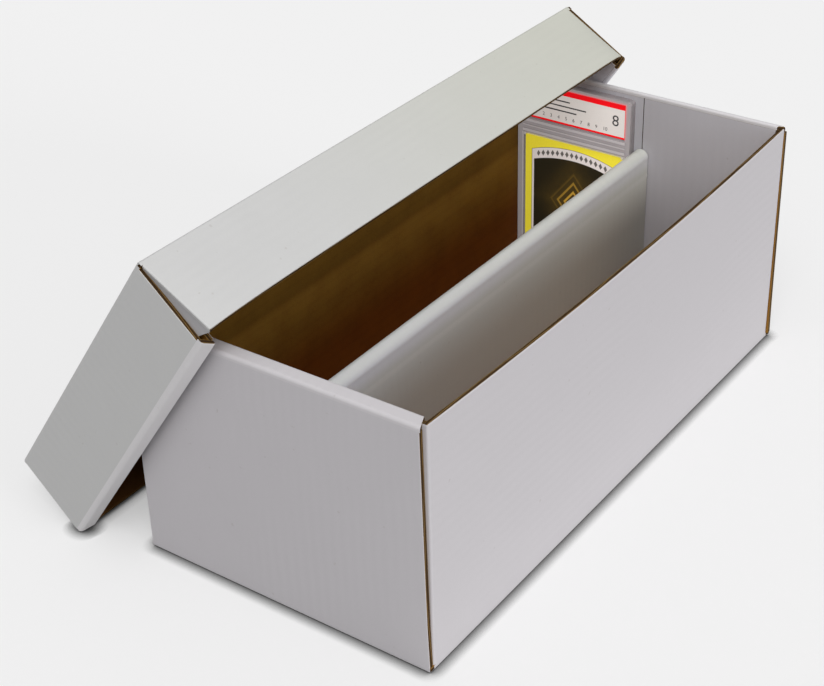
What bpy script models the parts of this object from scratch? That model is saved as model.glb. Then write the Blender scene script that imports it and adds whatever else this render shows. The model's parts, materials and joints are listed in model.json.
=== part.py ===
"""Two-row storage box for graded cards, open, with its lid leaning on the left wall.

The tray, the lid and the divider are each one sheet of corrugated board. Every panel
between two creases is its own object, so the sheets can be read as they fold. One card
holder stands in the left row.

Frame: origin under the middle of the tray, +X across the box to the right, +Y along the
rows to the far end, +Z up. The near end of the box faces -Y.
"""
import math
from dataclasses import dataclass, field

import bmesh
import bpy
from mathutils import Matrix, Vector

MM = 0.001

# Board, and how it folds
BOARD = 3.0 * MM
CREASE_GAP = 0.3 * MM
FOLD_RADIUS = 1.2 * MM
FOLD_SEGMENTS = 3
SEAM_WIDTH = 0.8 * MM
INNER_SIDE_CLEARANCE = 0.3 * MM

# Card holder: the box is made to fit it
HOLDER_WIDTH = 83.0 * MM
HOLDER_HEIGHT = 141.0 * MM
HOLDER_BACK_THICKNESS = 3.6 * MM
HOLDER_FRONT_THICKNESS = 1.6 * MM
HOLDER_RIM_HEIGHT = 0.5 * MM
HOLDER_RIM_WIDTH = 2.4 * MM
HOLDER_CORNER = 2.5 * MM
HOLDER_CLEARANCE = 0.3 * MM
HOLDER_SIDE_CLEARANCE = 0.5 * MM
HOLDER_HEADROOM = 1.7 * MM
CARD_THICKNESS = 0.6 * MM
CARD_BELOW_TOP = 39.0 * MM
CARD_ABOVE_FOOT = 4.0 * MM
CARD_SIDE_MARGIN = 4.5 * MM
LABEL_THICKNESS = 0.5 * MM
LABEL_HEIGHT = 23.0 * MM
LABEL_BELOW_TOP = 4.0 * MM
LABEL_SIDE_MARGIN = 4.0 * MM
POCKET_CLEARANCE = 0.3 * MM

# Divider
DIVIDER_THICKNESS = 10.0 * MM
DIVIDER_BELOW_RIM = 33.7 * MM
DIVIDER_END_CLEARANCE = 0.6 * MM

# Tray
TRAY_LENGTH = 381.0 * MM
TRAY_RIGHT_BOW = 4.0 * MM
TRAY_FLAPS_APART = 17.4 * MM
TRAY_FLAP_TAPER = 8.0 * MM
TRAY_TAB_WIDTH = 36.0 * MM

# Lid
LID_DEPTH = 51.0 * MM
LID_SIDE_CLEARANCE = 1.5 * MM
LID_END_CLEARANCE = 2.0 * MM
LID_DRAWN_NEAR = 1.5 * MM
LID_FLAPS_APART = 70.4 * MM
LID_FLAP_TUCK = 2.5 * MM
LID_TAB_WIDTH = 36.0 * MM
LID_REST_CLEARANCE = 0.3 * MM
UPPER_WALL_SPLAY_DEGREES = 14.0

# Lock tabs
TAB_RECESS = 0.4 * MM
TAB_CORNER = 2.0 * MM
SLOT_CLEARANCE = 0.4 * MM

# Cutters run this far past what they cut
CUT_OVERRUN = 2.0 * MM

# Shares of the board's thickness: points closer than the first are one point, and places
# closer than the second are level with each other
WELD_SHARE = 0.001
LEVEL_SHARE = 0.01

# Shares of the tray: where the lock tabs stand across its width, and how much of a flap's
# taper is cut from its lower edge
TAB_PLACE_SHARES = (-0.25, 0.25)
LOWER_TAPER_SHARE = 0.25

# How upright the lid leans: 0 where its upper rim would just clear the tray, and 1 where
# its lower rim would stand against the tray
LEAN_SHARE = 0.253

# How finely the bowed wall and the rounded outlines are divided
BOW_STEPS_ALONG = 16
BOW_STEPS_UP = 4
ARCH_STEPS = 12
CORNER_STEPS = 4

# Sizes that follow from the ones above
ROLL_DEPTH = 3 * BOARD + 2 * CREASE_GAP
TRAY_FLOOR = BOARD + CREASE_GAP
ROW_WIDTH = HOLDER_WIDTH + 2 * HOLDER_SIDE_CLEARANCE
ROW_LENGTH = TRAY_LENGTH - 2 * ROLL_DEPTH
TRAY_WIDTH = 2 * (ROW_WIDTH + BOARD) + DIVIDER_THICKNESS
TRAY_HEIGHT = TRAY_FLOOR + HOLDER_HEIGHT + HOLDER_HEADROOM
TRAY_FLAP_REACH = (TRAY_WIDTH - TRAY_FLAPS_APART) / 2 - BOARD - CREASE_GAP
LID_WIDTH = TRAY_WIDTH + 2 * (BOARD + LID_SIDE_CLEARANCE)
LID_LENGTH = TRAY_LENGTH + 2 * (ROLL_DEPTH + LID_END_CLEARANCE)
LID_FLAP_REACH = (LID_WIDTH - LID_FLAPS_APART) / 2 - BOARD - CREASE_GAP
LID_FLAP_TAPER = LID_FLAP_REACH * math.tan(math.radians(UPPER_WALL_SPLAY_DEGREES)) + LID_FLAP_TUCK
DIVIDER_HEIGHT = TRAY_HEIGHT - TRAY_FLOOR - DIVIDER_BELOW_RIM
CARD_WIDTH = HOLDER_WIDTH - 2 * CARD_SIDE_MARGIN
CARD_HEIGHT = HOLDER_HEIGHT - CARD_BELOW_TOP - CARD_ABOVE_FOOT
LABEL_WIDTH = HOLDER_WIDTH - 2 * LABEL_SIDE_MARGIN

# Which way a sheet faces: the matrix takes the outline's x and y, and its thickness, to
# the panel's own directions
LYING = Matrix.Identity(4)
FACING_END = Matrix.Rotation(math.radians(90), 4, "X")
FACING_SIDE = Matrix.Rotation(math.radians(90), 4, "Z") @ FACING_END

# Colours, as linear values
WHITE_LINER = (0.62, 0.62, 0.64, 1.0)
SHADED_LINER = (0.50, 0.50, 0.52, 1.0)
KRAFT = (0.36, 0.20, 0.09, 1.0)
CLEAR_SHELL = (0.72, 0.74, 0.76, 1.0)
LABEL_PAPER = (0.78, 0.76, 0.74, 1.0)
CARD_YELLOW = (0.80, 0.66, 0.03, 1.0)


@dataclass
class FoldedTray:
    """One blank of board folded into an open tray with rolled-over end walls.

    Its own frame has the base's underside at z = 0 and the open side up. The sides are
    -1 for the wall at -X and +1 for the wall at +X, and the ends are -1 for -Y.
    """

    prefix: str
    base_name: str
    width: float
    length: float
    height: float
    flap_reach: float
    flap_taper: float
    tab_width: float
    side_names: dict
    inner_halves: int = 1
    bows: dict = field(default_factory=lambda: {-1: 0.0, 1: 0.0})
    splays: dict = field(default_factory=lambda: {-1: 0.0, 1: 0.0})

    def end_name(self, end):
        return "near" if end < 0 else "far"


def clear_scene():
    for existing in list(bpy.data.objects):
        bpy.data.objects.remove(existing, do_unlink=True)


def make_collection(name):
    collection = bpy.data.collections.new(name)
    bpy.context.scene.collection.children.link(collection)
    return collection


def make_material(name, colour, roughness, alpha=1.0):
    material = bpy.data.materials.new(name)
    material.use_nodes = True
    shader = material.node_tree.nodes["Principled BSDF"]
    shader.inputs["Base Color"].default_value = colour
    shader.inputs["Roughness"].default_value = roughness
    shader.inputs["Metallic"].default_value = 0.0
    shader.inputs["Alpha"].default_value = alpha
    material.diffuse_color = colour
    return material


def make_empty(name, collection, location, turn_y=0.0, parent=None):
    """An unseen holder for parts that share a crease or a pivot."""
    empty = bpy.data.objects.new(name, None)
    empty.location = location
    empty.rotation_euler = (0, turn_y, 0)
    empty.parent = parent
    collection.objects.link(empty)
    return empty


def finish_object(name, mesh, collection, material, location, parent):
    mesh.name = name
    mesh.materials.clear()
    mesh.materials.append(material)
    obj = bpy.data.objects.new(name, mesh)
    obj.location = location
    obj.parent = parent
    collection.objects.link(obj)
    return obj


def outline_mesh(outlines, thickness, facing):
    """A flat sheet from closed outlines: the first is its edge, the others are holes."""
    curve = bpy.data.curves.new("outline", "CURVE")
    curve.dimensions = "2D"
    curve.fill_mode = "BOTH"
    curve.extrude = thickness / 2
    for outline in outlines:
        spline = curve.splines.new("POLY")
        spline.points.add(len(outline) - 1)
        for point, (across, along) in zip(spline.points, outline):
            point.co = (across, along, 0, 1)
        spline.use_cyclic_u = True
    holder = bpy.data.objects.new("outline", curve)
    bpy.context.scene.collection.objects.link(holder)
    depsgraph = bpy.context.evaluated_depsgraph_get()
    mesh = bpy.data.meshes.new_from_object(holder.evaluated_get(depsgraph))
    bpy.data.objects.remove(holder, do_unlink=True)
    bpy.data.curves.remove(curve)
    solid = bmesh.new()
    solid.from_mesh(mesh)
    bmesh.ops.remove_doubles(solid, verts=solid.verts, dist=BOARD * WELD_SHARE)
    bmesh.ops.transform(solid, matrix=facing, verts=solid.verts)
    bmesh.ops.recalc_face_normals(solid, faces=solid.faces)
    solid.to_mesh(mesh)
    solid.free()
    return mesh


def box_mesh(size):
    solid = bmesh.new()
    bmesh.ops.create_cube(solid, size=1.0)
    bmesh.ops.scale(solid, vec=size, verts=solid.verts)
    mesh = bpy.data.meshes.new("box")
    solid.to_mesh(mesh)
    solid.free()
    return mesh


def rectangle(width, height, centre=(0.0, 0.0)):
    half_width = width / 2
    half_height = height / 2
    across, along = centre
    return [
        (across - half_width, along - half_height),
        (across + half_width, along - half_height),
        (across + half_width, along + half_height),
        (across - half_width, along + half_height),
    ]


def round_folds(obj, is_fold):
    """Round the edges along which the sheet turns a corner."""
    mesh = obj.data
    weights = mesh.attributes.new("bevel_weight_edge", "FLOAT", "EDGE")
    for edge in mesh.edges:
        start, end = (mesh.vertices[index].co for index in edge.vertices)
        weights.data[edge.index].value = 1.0 if is_fold(start, end) else 0.0
    rounding = obj.modifiers.new("fold", "BEVEL")
    rounding.limit_method = "WEIGHT"
    rounding.width = FOLD_RADIUS
    rounding.segments = FOLD_SEGMENTS


def level(values, target):
    """True where every value lies at the target, to well under the board's thickness."""
    return all(abs(value - target) < BOARD * LEVEL_SHARE for value in values)


def tab_centres(tray):
    """Where the lock tabs stand across the tray: one to each half, or two to one panel."""
    return tuple(share * tray.width for share in TAB_PLACE_SHARES)


def make_base(tray, collection, material, parent):
    """The bottom panel, with a slot for each lock tab and its four folds rounded."""
    outlines = [rectangle(tray.width, tray.length)]
    slot_width = tray.tab_width + 2 * SLOT_CLEARANCE
    slot_depth = BOARD + 2 * SLOT_CLEARANCE
    slot_y = tray.length / 2 - ROLL_DEPTH + BOARD / 2
    for end in (-1, 1):
        for centre in tab_centres(tray):
            outlines.append(rectangle(slot_width, slot_depth, (centre, end * slot_y)))
    mesh = outline_mesh(outlines, BOARD, LYING)
    base = finish_object(tray.base_name, mesh, collection, material, (0, 0, BOARD / 2), parent)

    def is_fold(start, end):
        if not level((start.z, end.z), -BOARD / 2):
            return False
        along_side = level((abs(start.x), abs(end.x)), tray.width / 2) and start.x * end.x > 0
        along_end = level((abs(start.y), abs(end.y)), tray.length / 2) and start.y * end.y > 0
        return along_side or along_end

    round_folds(base, is_fold)
    return base


def make_long_wall(tray, side, collection, material, crease):
    """A single-thickness side wall with a raw top edge, bowed outwards where it is free."""
    wall_length = tray.length - 2 * (BOARD + CREASE_GAP)
    wall_bottom = BOARD + CREASE_GAP
    wall_height = tray.height - wall_bottom
    mesh = box_mesh((BOARD, wall_length, wall_height))
    bow = tray.bows[side]
    if bow:
        solid = bmesh.new()
        solid.from_mesh(mesh)
        for step in range(1, BOW_STEPS_ALONG):
            place = wall_length * (step / BOW_STEPS_ALONG - 1 / 2)
            everything = solid.verts[:] + solid.edges[:] + solid.faces[:]
            bmesh.ops.bisect_plane(solid, geom=everything, plane_co=(0, place, 0), plane_no=(0, 1, 0))
        for step in range(1, BOW_STEPS_UP):
            place = wall_height * (step / BOW_STEPS_UP - 1 / 2)
            everything = solid.verts[:] + solid.edges[:] + solid.faces[:]
            bmesh.ops.bisect_plane(solid, geom=everything, plane_co=(0, 0, place), plane_no=(0, 0, 1))
        for vert in solid.verts:
            along_share = 2 * vert.co.y / wall_length
            up_share = vert.co.z / wall_height + 1 / 2
            vert.co.x += side * bow * (1 - along_share**2) * up_share
        solid.to_mesh(mesh)
        solid.free()
    location = (-side * BOARD / 2, 0, wall_bottom + wall_height / 2)
    name = f"{tray.prefix}_{tray.side_names[side]}_wall"
    return finish_object(name, mesh, collection, material, location, crease)


def make_flap(tray, side, end, collection, material, crease):
    """A corner flap: it turns in from the side wall and is held inside the end wall."""
    root_low = BOARD + CREASE_GAP
    root_high = tray.height - BOARD - 2 * CREASE_GAP
    root = -side * (BOARD + CREASE_GAP)
    tip = root - side * tray.flap_reach
    outline = [
        (root, root_low),
        (tip, root_low + tray.flap_taper * LOWER_TAPER_SHARE),
        (tip, root_high - tray.flap_taper),
        (root, root_high),
    ]
    mesh = outline_mesh([outline], BOARD, FACING_END)
    y = end * (tray.length / 2 - BOARD - CREASE_GAP - BOARD / 2)
    name = f"{tray.prefix}_{tray.end_name(end)}_{tray.side_names[side]}_flap"
    return finish_object(name, mesh, collection, material, (0, y, 0), crease)


def make_end_panel(tray, end, collection, material, parent):
    """The outer end panel, as wide as the tray, so its raw sides show at the corners."""
    low = BOARD + CREASE_GAP
    panel_height = tray.height - 2 * low
    mesh = box_mesh((tray.width, BOARD, panel_height))
    location = (0, end * (tray.length - BOARD) / 2, low + panel_height / 2)
    name = f"{tray.prefix}_{tray.end_name(end)}_end_panel"
    return finish_object(name, mesh, collection, material, location, parent)


def make_rim_strip(tray, end, collection, material, parent):
    """The flat strip between two creases that caps an end wall, cut in behind its corners."""
    outer = end * tray.length / 2
    behind_panel = outer - end * BOARD
    inner = outer - end * ROLL_DEPTH
    outer_half = tray.width / 2
    shoulder_half = outer_half - BOARD - CREASE_GAP
    inner_half = shoulder_half - 2 * CREASE_GAP
    outline = [
        (-outer_half, outer),
        (outer_half, outer),
        (shoulder_half, behind_panel),
        (inner_half, inner),
        (-inner_half, inner),
        (-shoulder_half, behind_panel),
    ]
    mesh = outline_mesh([outline], BOARD, LYING)
    name = f"{tray.prefix}_{tray.end_name(end)}_rim_strip"
    location = (0, 0, tray.height - BOARD / 2)
    strip = finish_object(name, mesh, collection, material, location, parent)

    def is_fold(start, finish):
        on_top = level((start.z, finish.z), BOARD / 2)
        return on_top and (level((start.y, finish.y), outer) or level((start.y, finish.y), inner))

    round_folds(strip, is_fold)
    return strip


def make_inner_panels(tray, end, collection, material, parent):
    """The rolled-over inner wall, with lock tabs that reach down into the base."""
    y = end * (tray.length / 2 - ROLL_DEPTH + BOARD / 2)
    low = BOARD + CREASE_GAP
    high = tray.height - BOARD - CREASE_GAP
    reach = tray.width / 2 - BOARD - INNER_SIDE_CLEARANCE
    made = []
    for part in range(tray.inner_halves):
        if tray.inner_halves == 1:
            start, stop = -reach, reach
            suffix = "inner_panel"
            tabs = tab_centres(tray)
        else:
            side = (-1, 1)[part]
            start, stop = sorted((side * SEAM_WIDTH / 2, side * reach))
            suffix = f"inner_{tray.side_names[side]}"
            tabs = (tab_centres(tray)[part],)
        outline = [(stop, low), (stop, high), (start, high), (start, low)]
        for centre in tabs:
            outline += [
                (centre - tray.tab_width / 2, low),
                (centre - tray.tab_width / 2 + TAB_CORNER, TAB_RECESS),
                (centre + tray.tab_width / 2 - TAB_CORNER, TAB_RECESS),
                (centre + tray.tab_width / 2, low),
            ]
        mesh = outline_mesh([outline], BOARD, FACING_END)
        name = f"{tray.prefix}_{tray.end_name(end)}_{suffix}"
        made.append(finish_object(name, mesh, collection, material, (0, y, 0), parent))
    return made


def make_folded_tray(tray, collection, outside, inside, parent):
    """Every panel of one blank, hung on the parent or on its side wall's crease."""
    make_base(tray, collection, outside, parent)
    for side in (-1, 1):
        crease_place = (side * tray.width / 2, 0, 0)
        turn = side * math.radians(tray.splays[side])
        side_name = tray.side_names[side]
        crease = make_empty(f"{tray.prefix}_{side_name}_crease", collection, crease_place, turn, parent)
        make_long_wall(tray, side, collection, outside, crease)
        for end in (-1, 1):
            make_flap(tray, side, end, collection, inside, crease)
    for end in (-1, 1):
        make_end_panel(tray, end, collection, outside, parent)
        make_rim_strip(tray, end, collection, outside, parent)
        make_inner_panels(tray, end, collection, outside, parent)


def lid_pivot():
    """Where the lid's lower rim rests on the floor, and how far the lid is turned.

    The inside of the lid's top panel lies on the tray's upper left edge.
    """
    inside_depth = LID_DEPTH - BOARD - LID_REST_CLEARANCE
    flattest = math.asin((TRAY_HEIGHT + BOARD + LID_REST_CLEARANCE) / LID_WIDTH)
    steepest = math.acos(inside_depth / TRAY_HEIGHT)
    lean = flattest + LEAN_SHARE * (steepest - flattest)
    run = (TRAY_HEIGHT * math.cos(lean) - inside_depth) / math.sin(lean)
    return (-TRAY_WIDTH / 2 - run, 0, 0), math.pi - lean


def make_divider(collection, liner):
    """A strip of board folded over into two leaves with a round top, standing on edge."""
    length = ROW_LENGTH - 2 * DIVIDER_END_CLEARANCE
    outer_radius = DIVIDER_THICKNESS / 2
    leaf_height = DIVIDER_HEIGHT - outer_radius - CREASE_GAP
    root = make_empty("divider_lift", collection, (0, 0, TRAY_FLOOR))
    for side, name in ((-1, "divider_left_leaf"), (1, "divider_right_leaf")):
        mesh = box_mesh((BOARD, length, leaf_height))
        location = (side * (outer_radius - BOARD / 2), 0, leaf_height / 2)
        finish_object(name, mesh, collection, liner, location, root)
    outer_arc = arc_points(outer_radius, ARCH_STEPS)
    inner_arc = arc_points(outer_radius - BOARD, ARCH_STEPS)
    mesh = outline_mesh([outer_arc + inner_arc[::-1]], length, FACING_END)
    location = (0, 0, DIVIDER_HEIGHT - outer_radius)
    finish_object("divider_top_fold", mesh, collection, liner, location, root)


def arc_points(radius, segments):
    """A half circle over the origin, from +X round to -X."""
    turns = [math.pi * step / segments for step in range(segments + 1)]
    return [(radius * math.cos(turn), radius * math.sin(turn)) for turn in turns]


def rounded_rectangle(width, height, corner, centre_height):
    """A rectangle with quarter-round corners, centred across and at the given height."""
    outline = []
    for quadrant, (side, rise) in enumerate(((1, 1), (-1, 1), (-1, -1), (1, -1))):
        middle = Vector((side * (width / 2 - corner), centre_height + rise * (height / 2 - corner)))
        for step in range(CORNER_STEPS + 1):
            turn = math.pi / 2 * (quadrant + step / CORNER_STEPS)
            outline.append(tuple(middle + corner * Vector((math.cos(turn), math.sin(turn)))))
    return outline


def cut_boxes(obj, boxes, cutters, operation):
    """Cut away, or join on, boxes that are given by size and centre in the object's frame."""
    for number, (size, centre) in enumerate(boxes):
        mesh = box_mesh(size)
        tool = bpy.data.objects.new(f"{obj.name}_tool_{number}", mesh)
        tool.location = centre
        tool.parent = obj.parent
        tool.hide_render = True
        tool.display_type = "WIRE"
        cutters.objects.link(tool)
        boolean = obj.modifiers.new(f"tool_{number}", "BOOLEAN")
        boolean.operation = operation
        boolean.solver = "EXACT"
        boolean.object = tool


def make_card_holder(collection, cutters, shell, paper, yellow):
    """The hard two-part holder, its label and its card, standing at the far end."""
    x = -(DIVIDER_THICKNESS + ROW_WIDTH) / 2
    back_y = ROW_LENGTH / 2 - HOLDER_CLEARANCE
    root = make_empty("holder_slide", collection, (x, back_y, TRAY_FLOOR))
    middle = HOLDER_HEIGHT / 2
    outline = rounded_rectangle(HOLDER_WIDTH, HOLDER_HEIGHT, HOLDER_CORNER, middle)
    back_mesh = outline_mesh([outline], HOLDER_BACK_THICKNESS, FACING_END)
    back_centre = -HOLDER_BACK_THICKNESS / 2
    back = finish_object("holder_back_shell", back_mesh, collection, shell, (0, back_centre, 0), root)
    card_z = HOLDER_HEIGHT - CARD_BELOW_TOP - CARD_HEIGHT / 2
    label_z = HOLDER_HEIGHT - LABEL_BELOW_TOP - LABEL_HEIGHT / 2
    inlays = (
        ("holder_card", yellow, CARD_WIDTH, CARD_THICKNESS, CARD_HEIGHT, card_z),
        ("holder_label", paper, LABEL_WIDTH, LABEL_THICKNESS, LABEL_HEIGHT, label_z),
    )
    pockets = []
    for name, material, width, thickness, height, z in inlays:
        depth = thickness + POCKET_CLEARANCE
        pocket_size = (width + 2 * POCKET_CLEARANCE, depth + CUT_OVERRUN, height + 2 * POCKET_CLEARANCE)
        pocket_y = -HOLDER_BACK_THICKNESS + (depth - CUT_OVERRUN) / 2
        pockets.append((pocket_size, (0, pocket_y, z)))
        inlay_y = -HOLDER_BACK_THICKNESS + thickness / 2
        mesh = box_mesh((width, thickness, height))
        finish_object(name, mesh, collection, material, (0, inlay_y, z), root)
    cut_boxes(back, pockets, cutters, "DIFFERENCE")
    front_back_face = -HOLDER_BACK_THICKNESS - HOLDER_CLEARANCE
    full = HOLDER_FRONT_THICKNESS + HOLDER_RIM_HEIGHT
    front_mesh = outline_mesh([outline], full, FACING_END)
    front_centre = front_back_face - full / 2
    front = finish_object("holder_front_shell", front_mesh, collection, shell, (0, front_centre, 0), root)
    window_size = (
        HOLDER_WIDTH - 2 * HOLDER_RIM_WIDTH,
        HOLDER_RIM_HEIGHT + CUT_OVERRUN,
        HOLDER_HEIGHT - 2 * HOLDER_RIM_WIDTH,
    )
    window_y = front_back_face - full + (HOLDER_RIM_HEIGHT - CUT_OVERRUN) / 2
    cut_boxes(front, [(window_size, (0, window_y, middle))], cutters, "DIFFERENCE")


def main():
    clear_scene()
    parts = make_collection("graded_card_storage_box")
    cutters = make_collection("cutters")
    liner = make_material("white_liner", WHITE_LINER, 0.72)
    shaded = make_material("shaded_liner", SHADED_LINER, 0.75)
    kraft = make_material("kraft_board", KRAFT, 0.85)
    shell = make_material("clear_shell", CLEAR_SHELL, 0.18, 0.5)
    paper = make_material("label_paper", LABEL_PAPER, 0.6)
    yellow = make_material("card_yellow", CARD_YELLOW, 0.5)

    tray = FoldedTray(
        prefix="tray",
        base_name="tray_base",
        width=TRAY_WIDTH,
        length=TRAY_LENGTH,
        height=TRAY_HEIGHT,
        flap_reach=TRAY_FLAP_REACH,
        flap_taper=TRAY_FLAP_TAPER,
        tab_width=TRAY_TAB_WIDTH,
        side_names={-1: "left", 1: "right"},
        inner_halves=2,
        bows={-1: 0.0, 1: TRAY_RIGHT_BOW},
    )
    tray_root = make_empty("tray_root", parts, (0, 0, 0))
    make_folded_tray(tray, parts, liner, kraft, tray_root)

    lid = FoldedTray(
        prefix="lid",
        base_name="lid_top_panel",
        width=LID_WIDTH,
        length=LID_LENGTH,
        height=LID_DEPTH,
        flap_reach=LID_FLAP_REACH,
        flap_taper=LID_FLAP_TAPER,
        tab_width=LID_TAB_WIDTH,
        side_names={-1: "upper", 1: "lower"},
        splays={-1: UPPER_WALL_SPLAY_DEGREES, 1: 0.0},
    )
    pivot, turn = lid_pivot()
    lid_hinge = make_empty("lid_tip", parts, pivot, turn)
    lid_root_place = (-LID_WIDTH / 2, -LID_DRAWN_NEAR, -LID_DEPTH)
    lid_root = make_empty("lid_root", parts, lid_root_place, 0.0, lid_hinge)
    make_folded_tray(lid, parts, shaded, kraft, lid_root)

    make_divider(parts, liner)
    make_card_holder(parts, cutters, shell, paper, yellow)
    bpy.context.view_layer.update()


main()
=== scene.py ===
"""Dressed model of a two-row storage box for graded cards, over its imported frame.

The tray, the lid and the divider are folded from white-lined corrugated board. Each panel is
shaped flat in its blank's own frame, rounded where the sheet carries on round a crease, given
its liners and raw edges, and only then bent, leaned or laid where the frame has it.

Everything is in metres, with +X across the two rows, +Y along them and +Z up. A piece's own
UV map, its sheet, and the patterns drawn on it are in millimetres.
"""

import json
import logging
import math
from collections.abc import Callable, Iterable
from dataclasses import dataclass, field
from enum import Enum, IntEnum
from functools import partialmethod

import bmesh
import bpy
from bmesh.types import BMEdge, BMesh, BMFace, BMVert
from bpy.types import Material, Node, NodeSocket, Object
from mathutils import Matrix, Vector

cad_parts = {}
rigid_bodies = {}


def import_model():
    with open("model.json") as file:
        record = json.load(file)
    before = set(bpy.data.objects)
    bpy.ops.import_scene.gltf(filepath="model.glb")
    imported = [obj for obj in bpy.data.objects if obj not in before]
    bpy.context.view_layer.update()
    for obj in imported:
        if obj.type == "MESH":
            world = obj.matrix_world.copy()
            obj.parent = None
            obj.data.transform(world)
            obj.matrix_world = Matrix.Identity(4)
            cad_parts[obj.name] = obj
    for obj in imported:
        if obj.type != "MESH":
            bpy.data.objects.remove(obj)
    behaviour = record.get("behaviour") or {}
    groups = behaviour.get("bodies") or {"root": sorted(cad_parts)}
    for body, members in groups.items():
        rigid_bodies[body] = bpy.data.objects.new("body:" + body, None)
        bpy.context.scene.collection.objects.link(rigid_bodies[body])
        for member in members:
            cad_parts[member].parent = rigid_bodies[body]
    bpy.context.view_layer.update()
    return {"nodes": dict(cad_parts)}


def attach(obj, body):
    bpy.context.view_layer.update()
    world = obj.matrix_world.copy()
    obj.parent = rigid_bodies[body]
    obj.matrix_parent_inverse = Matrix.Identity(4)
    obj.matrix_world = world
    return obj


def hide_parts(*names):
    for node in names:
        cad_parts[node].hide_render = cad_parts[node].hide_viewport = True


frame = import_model()

Colour = tuple[float, float, float]
Board = tuple[Material, Material, Material]

LOG = logging.getLogger("card_box")
MM = 0.001
X_AXIS, Y_AXIS, Z_AXIS = (Vector(axis) for axis in ((1, 0, 0), (0, 1, 0), (0, 0, 1)))
BOARD = 3.0 * MM
GAP = 0.3 * MM  # what the frame leaves open at a crease
SHEET_MAP = "sheet"
FLUTE_PITCH = 6.4
SOFT = 0.08  # half the soft edge of a printed shape, on the sheet
DRAWN_OUT = 0.05  # how a cut along the flutes shows their waves
FACING = 0.9  # the cosine from which a face looks a way


class Way(IntEnum):
    """One of the two opposite ways along an axis."""

    @classmethod
    def of(cls, place: float) -> "Way":
        """The way in which a place lies from the middle."""
        return cls(1 if place > 0 else -1)


class End(Way):
    """The two ends of a blank."""

    NEAR = -1
    FAR = 1


class Side(Way):
    """The two long sides of a blank."""

    LOW_X = -1
    HIGH_X = 1


class Surface(IntEnum):
    """The material slots of a piece of board."""

    OUTER = 0
    INNER = 1
    RAW = 2


class Panel(Enum):
    """The kinds of panels that a folded tray has."""

    BASE = "base"
    WALL = "wall"
    FLAP = "flap"
    END = "end"
    NEAR_RIM = "near_rim"
    FAR_RIM = "far_rim"
    INNER = "inner"


class Body(Enum):
    """The bodies that pieces ride on."""

    TRAY = "tray"
    LID = "lid"
    DIVIDER = "divider"
    HOLDER = "card_holder"


# ---- Finishes


class Value:
    """A number or a colour that varies over a surface, as a socket that can be reckoned with."""

    def __init__(self, graph: "Graph", socket: NodeSocket) -> None:
        """Take up a socket of a graph."""
        self.graph, self.socket = graph, socket

    def through(self, operation: str, *others: object) -> "Value":
        """This value, and others, put through a Math node."""
        return self.graph.value("Math", dict(enumerate((self, *others))), operation=operation)

    def step(self, low: float, high: float) -> "Value":
        """The smooth rise from 0 at low to 1 at high, either of which may be the lesser."""
        inputs = {"Value": self, "From Min": low, "From Max": high}
        return self.graph.value("MapRange", inputs, interpolation_type="SMOOTHSTEP", clamp=True)

    def __rsub__(self, other: float) -> "Value":
        """A number less this value."""
        return self.through("MULTIPLY_ADD", -1.0, other)

    __add__ = partialmethod(through, "ADD")
    __sub__ = partialmethod(through, "SUBTRACT")
    __mul__ = partialmethod(through, "MULTIPLY")
    __abs__ = partialmethod(through, "ABSOLUTE")
    least = partialmethod(through, "MINIMUM")
    most = partialmethod(through, "MAXIMUM")
    sine = partialmethod(through, "SINE")


@dataclass(frozen=True)
class Tint:
    """Painted light and shade: a change of the paper's tone with the height on a wall.

    Attributes:
        start: The level at which it starts.
        full: The level from which it is whole.
        factor: What it multiplies the colour by.
    """

    start: float
    full: float
    factor: Colour


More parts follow.
